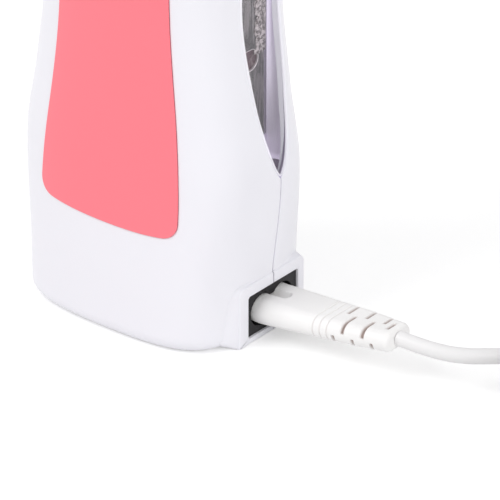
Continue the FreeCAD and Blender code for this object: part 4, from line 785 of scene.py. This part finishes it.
COIL_CENTRE, COIL_START, COIL_TURNS = (138.0, 29.0), np.radians(156.0), 8.869
COIL_LAYERS, LAYER_TURNS, TURN_POINTS = 4, 2.0, 18
COIL_OUTER, COIL_INNER = 28.46, 19.3
COIL_LOW, COIL_HIGH = 3.0, 15.65
TIE_BEARING, TIE_RADIAL = np.radians(225), 23.9
TIE_HALF, TIE_LOW, TIE_HIGH, TIE_CORNER = 7.45, 0.4, 18.4, 3.0
TIE_WIDTH, TIE_THICKNESS = 5.0, 0.68


def coil_turns():
    """Winding of the coil: its angle runs back evenly, its radius swings in and out, and it climbs a layer
    at each swing."""
    climb = (COIL_TURNS - COIL_LAYERS * LAYER_TURNS) / (COIL_LAYERS - 1)
    turn = np.arange(0, COIL_TURNS, 1 / TURN_POINTS)[1:]
    layer = np.minimum(turn // (LAYER_TURNS + climb), COIL_LAYERS - 1)
    within = turn - layer * (LAYER_TURNS + climb)
    swing = np.clip(within / LAYER_TURNS, 0, 1)
    swing = np.where(layer % 2 == 0, swing, 1 - swing)
    radius = (COIL_OUTER + (COIL_INNER - COIL_OUTER) * swing) / np.cos(np.pi / TURN_POINTS) ** 0.5
    rise = layer + eased(LAYER_TURNS, LAYER_TURNS + climb, within)
    level = COIL_LOW + (COIL_HIGH - COIL_LOW) / (COIL_LAYERS - 1) * rise
    angle = COIL_START - 2 * np.pi * turn
    x, y = COIL_CENTRE[0] + radius * np.cos(angle), COIL_CENTRE[1] + radius * np.sin(angle)
    return np.stack([x, y, level], -1)


def squarish(value, power):
    """A sine or cosine drawn towards its ends: its size to a power below 1, with its sign."""
    return np.sign(value) * np.abs(value) ** power


def tie_band():
    """Strap round the coil's turns: a flat section with rounded edges, carried round a rounded rectangle
    that stands across the turns. The rectangle gives the radial place and the height, the section the width
    and thickness."""
    bend, section = np.linspace(0, np.pi / 2, 13), steps(24, 0, 2 * np.pi)
    out, top, foot = TIE_HALF - TIE_CORNER, TIE_HIGH - TIE_CORNER, TIE_LOW + TIE_CORNER
    middle = np.repeat([(out, top), (-out, top), (-out, foot), (out, foot)], len(bend), axis=0)
    turn = np.concatenate([bend + k * np.pi / 2 for k in range(4)])
    way = np.column_stack([np.cos(turn), np.sin(turn)])
    across = TIE_WIDTH / 2 * squarish(np.cos(section), 0.25)
    thick = TIE_THICKNESS / 2 * squarish(np.sin(section), 0.4)
    ring = middle[:, None] + (TIE_CORNER + thick)[None, :, None] * way[:, None]
    radial = np.array([np.cos(TIE_BEARING), np.sin(TIE_BEARING)])
    beside = np.array([-radial[1], radial[0]])
    flat = COIL_CENTRE + (TIE_RADIAL + ring[..., :1]) * radial + across[None, :, None] * beside
    return ring_shape(np.concatenate([flat, ring[..., 1:]], -1))


# ---------------------------------------------------------------- shader values and finishes


class Value:
    """One output of a shader node. Sums of values and numbers add the Math nodes that work them out."""

    def __init__(self, finish, socket):
        self.finish, self.socket = finish, socket

    def maths(self, operation, *values):
        return self.finish.add("Math", {"operation": operation}, dict(enumerate(values)))

    def __add__(self, other):
        return self.maths("ADD", self, other)

    def __sub__(self, other):
        return self.maths("SUBTRACT", self, other)

    def __rsub__(self, other):
        return self.maths("SUBTRACT", other, self)

    def __mul__(self, other):
        return self.maths("MULTIPLY", self, other)

    def __pow__(self, other):
        return self.maths("POWER", self, other)

    def __abs__(self):
        return self.maths("ABSOLUTE", self)

    __radd__ = __add__
    __rmul__ = __mul__

    def at_least(self, other):
        return self.maths("MAXIMUM", self, other)

    def between(self, low, high, start=0.0, end=1.0):
        """Eases from start to end while the value goes from low to high."""
        names = ("Value", "From Min", "From Max", "To Min", "To Max")
        sockets = dict(zip(names, (self, low, high, start, end)))
        return self.finish.add("MapRange", {"interpolation_type": "SMOOTHSTEP"}, sockets)


class Finish:
    """One material and its node tree, with a Principled shader that the other nodes feed."""

    def __init__(self, name, **sockets):
        self.material = bpy.data.materials.new(name)
        self.material.use_nodes = True
        self.tree = self.material.node_tree
        self.tree.nodes.clear()
        self.output = self.tree.nodes.new("ShaderNodeOutputMaterial")
        self.shader = self.tree.nodes.new("ShaderNodeBsdfPrincipled")
        self.show(Value(self, self.shader.outputs[0]))
        self.place = self.add("TexCoord", out="Object")
        self.set(**sockets)

    def add(self, kind, settings=None, sockets=None, out=0):
        """Adds a node of a type, with its settings first and then its sockets' values or links."""
        made = self.tree.nodes.new("ShaderNode" + kind)
        for key, setting in (settings or {}).items():
            setattr(made, key, setting)
        for key, value in (sockets or {}).items():
            self.feed(made.inputs[key], value)
        return Value(self, made.outputs[out])

    def feed(self, socket, value):
        """Links a value to a socket, or sets the socket to a colour or a number."""
        if isinstance(value, Value):
            self.tree.links.new(value.socket, socket)
        elif isinstance(value, tuple) and socket.type == "RGBA":
            socket.default_value = (*value, 1)
        else:
            socket.default_value = value

    def set(self, **sockets):
        """Feeds sockets of the Principled shader, named with an underscore for each space."""
        for key, value in sockets.items():
            self.feed(self.shader.inputs[key.replace("_", " ")], value)

    def show(self, shader):
        """Makes a shader the one that the material shows."""
        self.tree.links.new(shader.socket, self.output.inputs[0])

    def noise(self, scale, detail, stretch=(1, 1, 1), roughness=0.5, distortion=0.0):
        """Soft noise over the object's own place, drawn out along some axes."""
        vector = self.add("Mapping", None, {"Vector": self.place, "Scale": stretch})
        sockets = {"Vector": vector, "Scale": scale, "Detail": detail}
        sockets.update({"Roughness": roughness, "Distortion": distortion})
        return self.add("TexNoise", None, sockets, "Fac")

    def groove(self):
        """The value that a piece keeps at each point, which places painted shade in grooves and a painted
        glow on edges and lips.
        """
        return self.add("Attribute", {"attribute_name": "groove"}, None, "Fac")

    def axis(self, name):
        """One axis of the object's own place."""
        return self.add("SeparateXYZ", None, {0: self.place}, name)

    def mix(self, factor, low, high):
        """A colour between two colours."""
        return self.add("Mix", {"data_type": "RGBA"}, {0: factor, 6: low, 7: high}, 2)

    def cloudy(self, cloud, low, high, shade, colour):
        """A colour, and its shaded self where a noise is low."""
        return self.mix(cloud.between(low, high), dimmed(colour, shade), colour)

    def bump(self, height, depth):
        """Raises the surface by height times depth, in metres."""
        self.set(Normal=self.add("Bump", None, {"Height": height, "Distance": depth}))


def dimmed(colour, share):
    """A colour with each of its parts at a share."""
    return tuple(share * part for part in colour)


def sheen_plastic(name, colour, rough, coat=0.0, shade=0.97):
    """Moulded plastic: faint flow clouds in the colour, an orange peel and uneven gloss."""
    f = Finish(name, IOR=1.46, Coat_Weight=coat, Coat_Roughness=0.08)
    f.set(Base_Color=f.cloudy(f.noise(30, 1), 0.1, 0.9, shade, colour))
    f.set(Roughness=rough + 0.04 * (f.noise(60, 2) - 0.5))
    f.bump(f.noise(220, 1), 0.00001)
    return f.material


def milky_plastic_painted_glow(name, colour, glow, share):
    """Thin milky moulding: flow streaks up its height, and a painted glow, an emission that stands in for the
    light coming through it, stronger (a painted highlight) at a lip that the piece keeps as its attribute."""
    # painted glow: this emission stands in for light through the wall, it is no lamp
    f = Finish(name, Emission_Strength=share)
    streak = f.noise(260, 2, (1, 1, 0.12))
    f.set(Base_Color=f.cloudy(streak, 0.3, 0.7, 0.86, colour))
    # painted highlight: the emission is brighter where the piece's attribute marks the lip
    f.set(Emission_Color=f.mix(f.groove(), f.cloudy(streak, 0.3, 0.7, 0.8, glow), dimmed(glow, 1.75)))
    f.set(Roughness=0.22 + 0.1 * (streak - 0.5))
    f.bump(streak, 0.00012)
    return f.material


def clear_plastic(name, tint, veil=0.0):
    """Clear moulded plastic: a tinted pass-through under a glossy skin that shows more at a grazing angle,
    and a frosted white on a piece's cut edge, which also glows white: a painted highlight."""
    f = Finish(name, IOR=1.5, Base_Color=(0.97, 0.965, 1.0), Emission_Strength=0.3)
    rim = f.groove()
    f.set(Roughness=0.04 + 0.02 * f.noise(60, 2) + 0.45 * rim, Metallic=1 - rim)
    # painted highlight: the cut edge glows white through its emission
    f.set(Emission_Color=f.mix(rim, (0, 0, 0), (0.97, 0.94, 1.0)))
    f.bump(f.noise(140, 2), 0.00001)
    gloss = 0.04 + 0.9 * f.add("LayerWeight", None, {"Blend": 0.5}, "Facing") ** 5
    hidden = (1 - (veil + 0.72 * rim)) * (1 - gloss)
    through = f.add("BsdfTransparent", None, {0: tint})
    skin_shader = Value(f, f.shader.outputs[0])
    f.show(f.add("MixShader", None, {0: hidden, 1: skin_shader, 2: through}))
    return f.material


def rolled_metal(name, colour):
    """Rolled sheet metal: long fine scratches up its height, and broad patches of dull and bright."""
    f = Finish(name, Metallic=1.0)
    streak, patch = f.noise(260, 3, (1, 1, 1 / 30), 0.6), f.noise(70, 3)
    f.set(Base_Color=f.cloudy(0.6 * streak + 0.4 * patch, 0.3, 0.7, 0.72, colour))
    f.set(Roughness=0.36 + 0.18 * (streak - 0.5) + 0.1 * (patch - 0.5))
    f.bump(streak, 0.00002)
    return f.material


def smoked_steel(name, colour):
    """Heat-marked sheet: long brushed streaks, cloudy patches, and a painted highlight: a bright ring in the
    colour round its D-shaped sight hole, where the distance from the hole's middle, or from the run to its
    flat end, is the hole's radius."""
    f = Finish(name, Metallic=0.7)
    streak = f.noise(2200, 2, (1, 1, 0.03), 0.6)
    patch = f.noise(330, 4, (1, 1, 0.45), 0.6, 0.8)
    worn = (0.45 * streak + 0.55 * patch).between(0.43, 0.57)
    face = f.mix(worn, dimmed(colour, 0.42), dimmed(colour, 1.5))
    beyond, above = (f.axis("Y") - SIGHT_Y * MM).at_least(0.0), f.axis("Z") - SIGHT_Z * MM
    off_edge = abs((beyond**2 + above**2) ** 0.5 - (SIGHT_RADIUS + 0.05) * MM)
    # painted highlight: the bright ring round the sight hole's edge
    f.set(Base_Color=f.mix(off_edge.between(0.0001, 0.0003, 1.0, 0.0), face, (0.75, 0.70, 0.68)))
    f.set(Roughness=0.38 + 0.3 * (patch - 0.5))
    f.bump(streak + 2 * patch, 0.00005)
    return f.material


def creased_foil(name):
    """Aluminium tape: fine crumpled facets, some bright and some dark, with sharper folds among them; the
    bright and dark facets and the brighter folds are painted reflections in the colour.
    """
    f = Finish(name, Metallic=0.75)
    facet = f.noise(1500, 3, (1, 1, 0.7), 0.6)
    fold = abs(f.noise(520, 2, (1, 1, 0.6), 0.5, 0.6) - 0.5)
    # painted reflections: facets and fold crests made lighter or darker in the colour
    bright = facet.between(0.4, 0.62) + 0.5 * fold.between(0.0, 0.03, 1.0, 0.0)
    f.set(Base_Color=f.mix(bright.between(0.0, 1.2), (0.12, 0.097, 0.09), (0.66, 0.60, 0.58)))
    f.set(Roughness=0.36 + 0.2 * (facet - 0.5))
    f.bump(facet - 0.6 * fold, 0.0003)
    return f.material


def pressed_card(name):
    """Mica board: dull red-brown with small bright flakes."""
    f = Finish(name)
    flake = f.add("TexVoronoi", None, {"Vector": f.place, "Scale": 900.0}, "Color")
    bright = f.add("SeparateColor", None, {0: flake}).between(0.75, 0.95)
    soft = f.noise(160, 4)
    dull = f.mix(soft, (0.06, 0.022, 0.03), (0.11, 0.045, 0.055))
    f.set(Base_Color=f.mix(bright * 0.5, dull, (0.24, 0.18, 0.18)))
    f.set(Roughness=0.62 - 0.2 * bright)
    f.bump(soft + 0.3 * bright, 0.00008)
    return f.material


def soft_rubber(name, colour, rough, grain=900, depth=0.00006, ior=1.45):
    """Rubber or soft vinyl: a fine sand-blasted grain and slow patches of gloss."""
    f = Finish(name, IOR=ior)
    patch = f.noise(55, 3)
    f.set(Base_Color=f.cloudy(patch, 0.3, 0.7, 0.96, colour))
    f.set(Roughness=rough + 0.12 * (patch - 0.5))
    f.bump(f.noise(grain, 2), depth)
    return f.material


def grooved_vinyl(name, colour, groove_painted_shade):
    """Soft vinyl whose grooves are warmer and darker towards their floor, from the depth kept on the
    piece: painted shade in the grooves."""
    f = Finish(name, IOR=1.45)
    patch = f.noise(55, 3)
    plain = f.cloudy(patch, 0.3, 0.7, 0.97, colour)
    # painted shade: darker and warmer towards a groove's floor
    f.set(Base_Color=f.mix(f.groove().between(0.05, 0.9), plain, groove_painted_shade))
    f.set(Roughness=0.42 + 0.12 * (patch - 0.5))
    f.bump(f.noise(700, 2), 0.00003)
    return f.material


def turned_metal(name, colour):
    """Plated pins and screws: fine rings from turning, with small dull marks."""
    f = Finish(name, Metallic=1.0)
    mark = f.noise(350, 3)
    f.set(Base_Color=f.cloudy(mark, 0.35, 0.65, 0.85, colour))
    f.set(Roughness=0.24 + 0.14 * (mark - 0.5))
    f.bump(f.noise(900, 2, (1, 0.05, 1)), 0.00001)
    return f.material


def etched_board(name):
    """Circuit board: green lacquer over copper tracks, the middle lines of two noises drawn out across each
    other."""
    f = Finish(name, Coat_Roughness=0.2)
    tracks = [abs(f.noise(230, 0, stretch) - 0.5) for stretch in ((1, 1, 0.15), (0.15, 1, 1))]
    copper = tracks[0].between(0.02, 0.03, 1.0, 0.0) + tracks[1].between(0.02, 0.03, 1.0, 0.0)
    shown = copper.between(0.2, 0.8)
    f.set(Base_Color=f.mix(shown, (0.012, 0.10, 0.035), (0.05, 0.22, 0.07)))
    f.set(Roughness=0.35 - 0.08 * shown)
    f.bump(copper, 0.00004)
    return f.material


SHELL_WHITE = sheen_plastic("shell_gloss", (0.855, 0.848, 0.90), 0.32, 0.15, 0.99)
PANEL_PINK = sheen_plastic("panel_gloss", (0.97, 0.193, 0.24), 0.32, 0.3, 0.98)
WINDOW_CLEAR = clear_plastic("window_clear", (0.96, 0.955, 0.975))
# return wall: its emission is a painted glow, brighter at the lip as a painted highlight
RETURN_PAINTED_GLOW = milky_plastic_painted_glow("return_painted_glow", (0.90, 0.85, 0.94), (0.52, 0.46, 0.58), 0.3)
# pocket: its dark colour is painted shade under the lip, with a faint painted glow
POCKET_PAINTED_SHADE = milky_plastic_painted_glow("pocket_painted_shade", (0.16, 0.125, 0.19), (0.13, 0.10, 0.15), 0.6)
# painted shade: the tongue's lilac stands for the shadow in the seam's gap
TONGUE_PAINTED_SHADE = sheen_plastic("tongue_painted_shade", (0.47, 0.42, 0.60), 0.5)
# painted shade: the violet seat stands for the shadow in the gap round the pane
SEAT_PAINTED_SHADE = sheen_plastic("seat_painted_shade", (0.27, 0.23, 0.33), 0.5)
GUARD_STEEL = smoked_steel("guard_steel", (0.165, 0.152, 0.147))
FOIL_TAPE = creased_foil("foil_tape")
SOCKET_BLACK = soft_rubber("socket_black", (0.014, 0.013, 0.015), 0.42, 500, ior=1.33)
# the sleeve's second colour is the painted shade in its grooves
SLEEVE_VINYL = grooved_vinyl("sleeve_vinyl", (0.915, 0.905, 0.90), (0.56, 0.47, 0.44))
LEAD_VINYL = soft_rubber("lead_vinyl", (0.85, 0.84, 0.845), 0.42, 700, 0.00003)
TIE_BLACK = soft_rubber("tie_black", (0.022, 0.021, 0.024), 0.5, 500)
FINISHES = {
    SHELL_WHITE: ("front_shell", "rear_shell"),
    PANEL_PINK: ("front_panel",),
    WINDOW_CLEAR: ("window_right", "window_left"),
    clear_plastic("cap_clear", (0.88, 0.885, 0.91), 0.15): ("clear_cap",),
    clear_plastic("lens_clear", (0.95, 0.7, 0.68), 0.1): ("indicator_lens",),
    rolled_metal("well_aluminium", (0.78, 0.77, 0.78)): ("heater_plate", "well_floor"),
    GUARD_STEEL: ("heat_guard", "thermostat"),
    FOIL_TAPE: ("foil_tapes",),
    pressed_card("heater_mica"): ("heater_card",),
    sheen_plastic("liner_matt", (0.88, 0.84, 0.92), 0.4): ("rear_liner",),
    sheen_plastic("collar_gloss", (0.85, 0.85, 0.87), 0.25, 0.2): ("top_collar",),
    soft_rubber("pad_rubber", (0.05, 0.05, 0.055), 0.75): ("base_pad",),
    SOCKET_BLACK: ("inlet_socket", "tact_switch", "switch_plunger"),
    sheen_plastic("button_gloss", (0.84, 0.84, 0.86), 0.25, 0.3): ("power_button",),
    etched_board("board_lacquer"): ("control_board",),
    turned_metal("pin_brass", (0.80, 0.62, 0.32)): ("inlet_pins", "lead_contacts"),
    turned_metal("screw_steel", (0.62, 0.62, 0.64)): ("board_screws", "case_screws", "plug_pins"),
    sheen_plastic("lamp_red", (0.55, 0.03, 0.03), 0.2): ("indicator_led",),
    soft_rubber("sleeve_glass", (0.72, 0.66, 0.52), 0.7): ("thermal_fuse", "heater_wires", "inlet_wires"),
    LEAD_VINYL: ("lead_connector", "mains_plug"),
}
for material, names in FINISHES.items():
    for name in names:
        for slot in node[name].material_slots:
            slot.material = material


# ---------------------------------------------------------------- camera, lamps and floor, in metres

SENSOR, LENS, FARTHEST = 36, 410.54, 50
EYE, LOOK = (0.85097, -1.02128, 0.73674), (-0.5513, 0.6834, -0.4787)
LAMPS = {"key": ((-0.7, -1.3, 1.5), 1.1, 15), "fill": ((1.6, -0.3, 0.9), 1.0, 10)}
LAMP_TARGET = Vector((0, 0, 0.05))
WORLD_LIGHT, FLOOR_GREY, FLOOR_GLOW, FLOOR_HALF = 0.65, 0.86, 0.31, 3


def stand(name, data, place, way):
    """Puts a camera or a lamp at a place, looking one way."""
    made = bpy.data.objects.new(name, data)
    made.location = place
    made.rotation_euler = Vector(way).to_track_quat("-Z", "Y").to_euler()
    bpy.context.scene.collection.objects.link(made)
    return made


def camera():
    """A long lens above the front right corner, aimed at the lower half of the heater."""
    view = bpy.data.cameras.new("view")
    view.sensor_width, view.lens, view.clip_end = SENSOR, LENS, FARTHEST
    bpy.context.scene.camera = stand("view", view, EYE, LOOK)


def soft_box(name, place, size, power):
    """A square soft box at one place, turned to the heater."""
    light = bpy.data.lights.new(name, "AREA")
    light.shape = "RECTANGLE"
    light.size = light.size_y = size
    light.energy = power
    stand(name, light, place, LAMP_TARGET - Vector(place))


def lit_floor(name):
    """Pale floor: plain for light that bounces, and lifted to white where it is seen, so that only shade
    shows."""
    f = Finish(name)
    f.tree.nodes.remove(f.shader)
    paper = f.add("BsdfDiffuse", None, {0: (FLOOR_GREY, FLOOR_GREY, FLOOR_GREY)})
    camera_ray, glossy, through = (
        f.add("LightPath", out=f"Is {kind} Ray") for kind in ("Camera", "Glossy", "Transmission")
    )
    seen = camera_ray.at_least(glossy.at_least(through))
    glow = f.add("Emission", None, {0: (1.0, 1.0, 1.0), 1: seen * FLOOR_GLOW})
    f.show(f.add("AddShader", None, {0: paper, 1: glow}))
    return f.material


def studio():
    """White floor and world, one large soft box at the front left, and a weaker one at the right."""
    side = np.linspace(-FLOOR_HALF, FLOOR_HALF, 3)
    x, y = np.meshgrid(side, side, indexing="ij")
    floor = mesh_object("studio_floor", np.stack([x, y, 0 * x], -1).reshape(-1, 3), grid_faces(3, 3))
    floor.data.materials.append(lit_floor("studio_paper"))
    world = bpy.data.worlds.new("studio")
    world.use_nodes = True
    tree = world.node_tree
    back = tree.nodes["Background"]
    back.inputs["Color"].default_value = (1, 1, 1, 1)
    rays = tree.nodes.new("ShaderNodeLightPath")
    strength = tree.nodes.new("ShaderNodeMapRange")
    strength.inputs["To Min"].default_value = WORLD_LIGHT
    strength.inputs["To Max"].default_value = 1.0
    tree.links.new(rays.outputs["Is Camera Ray"], strength.inputs["Value"])
    tree.links.new(strength.outputs[0], back.inputs["Strength"])
    bpy.context.scene.world = world
    for name, lamp in LAMPS.items():
        soft_box(name, *lamp)


# ---------------------------------------------------------------- the lead's cord

CORD_WIDTH, CORD_LENGTH = 4.2, 1.46
CORD_ROUTE = [
    (76.48, 0.0, 12.33),
    (85.4, 0.5, 12.0),
    (93.6, 4.0, 11.3),
    (99.5, 10.9, 10.4),
    (103.3, 19.3, 8.1),
    (106.7, 27.7, 5.1),
    (110.2, 36.0, 3.2),
]
TAIL_ROUTE = [
    (109.4, 26.6, 15.9),
    (110.3, 36.4, 17.0),
    (114.3, 45.2, 18.7),
    (121.0, 52.4, 20.7),
    (130.0, 56.0, 22.5),
    (139.6, 55.0, 23.9),
    (147.6, 49.6, 24.7),
    (152.2, 41.0, 24.85),
    (152.2, 31.5, 24.85),
]


def cord(sleeve, tie):
    """The lead's whole cord, as one smooth spline: out of the sleeve, round the coil and into the plug."""
    route = np.vstack([CORD_ROUTE, coil_turns(), TAIL_ROUTE]) * MM
    curve = bpy.data.curves.new("lead_flex", "CURVE")
    curve.dimensions = "3D"
    spline = curve.splines.new("NURBS")
    spline.points.add(len(route) - 1)
    spline.points.foreach_set("co", np.hstack([route, np.ones((len(route), 1))]).ravel())
    spline.order_u = 3
    spline.use_endpoint_u = True
    spline.resolution_u = 5
    curve.bevel_depth = CORD_WIDTH / 2 * MM
    curve.bevel_resolution = 4
    curve.use_fill_caps = True
    made = bpy.data.objects.new("lead_flex", curve)
    bpy.context.scene.collection.objects.link(made)
    curve.materials.append(LEAD_VINYL)
    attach(made, "lead")
    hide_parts("lead_cord", "lead_coil", "lead_tail")


# ---------------------------------------------------------------- the scene

bpy.context.scene.view_settings.view_transform = "Standard"
camera()
studio()
for half, half_skin in (("front", front_skin), ("rear", rear_skin)):
    shell = joined(half_skin(), inlet_frame(half))
    piece(f"shell_{half}", shell, "heater", "shell_white", SHELL_WHITE, f"{half}_shell")
piece("panel_front", front_panel(), "heater", "panel_pink", PANEL_PINK, "front_panel")
for side, way in (("right", 1), ("left", -1)):
    piece(f"pane_{side}", window(way), "heater", "window_clear", WINDOW_CLEAR, f"window_{side}")
    piece(f"return_{side}", return_wall(way), "heater", "liner_white", RETURN_PAINTED_GLOW)
    piece(f"pocket_{side}", return_pocket(way), "heater", "liner_white", POCKET_PAINTED_SHADE)
    piece(f"tongue_{side}", seam_tongue(way), "heater", "liner_white", TONGUE_PAINTED_SHADE)
    piece(f"seat_{side}", window_seat(way), "heater", "liner_white", SEAT_PAINTED_SHADE)
    piece(f"sight_{side}", sight_ring(way), "heater", "guard_steel", GUARD_STEEL)
    piece(f"foil_{side}", foil_strip(way), "heater", "foil_aluminium", FOIL_TAPE, "foil_tapes")
cord(
    piece("lead_sleeve", connector(), "lead", "lead_white", SLEEVE_VINYL, "lead_connector"),
    piece("tie_band", tie_band(), "lead", "socket_black", TIE_BLACK, "coil_tie"),
)
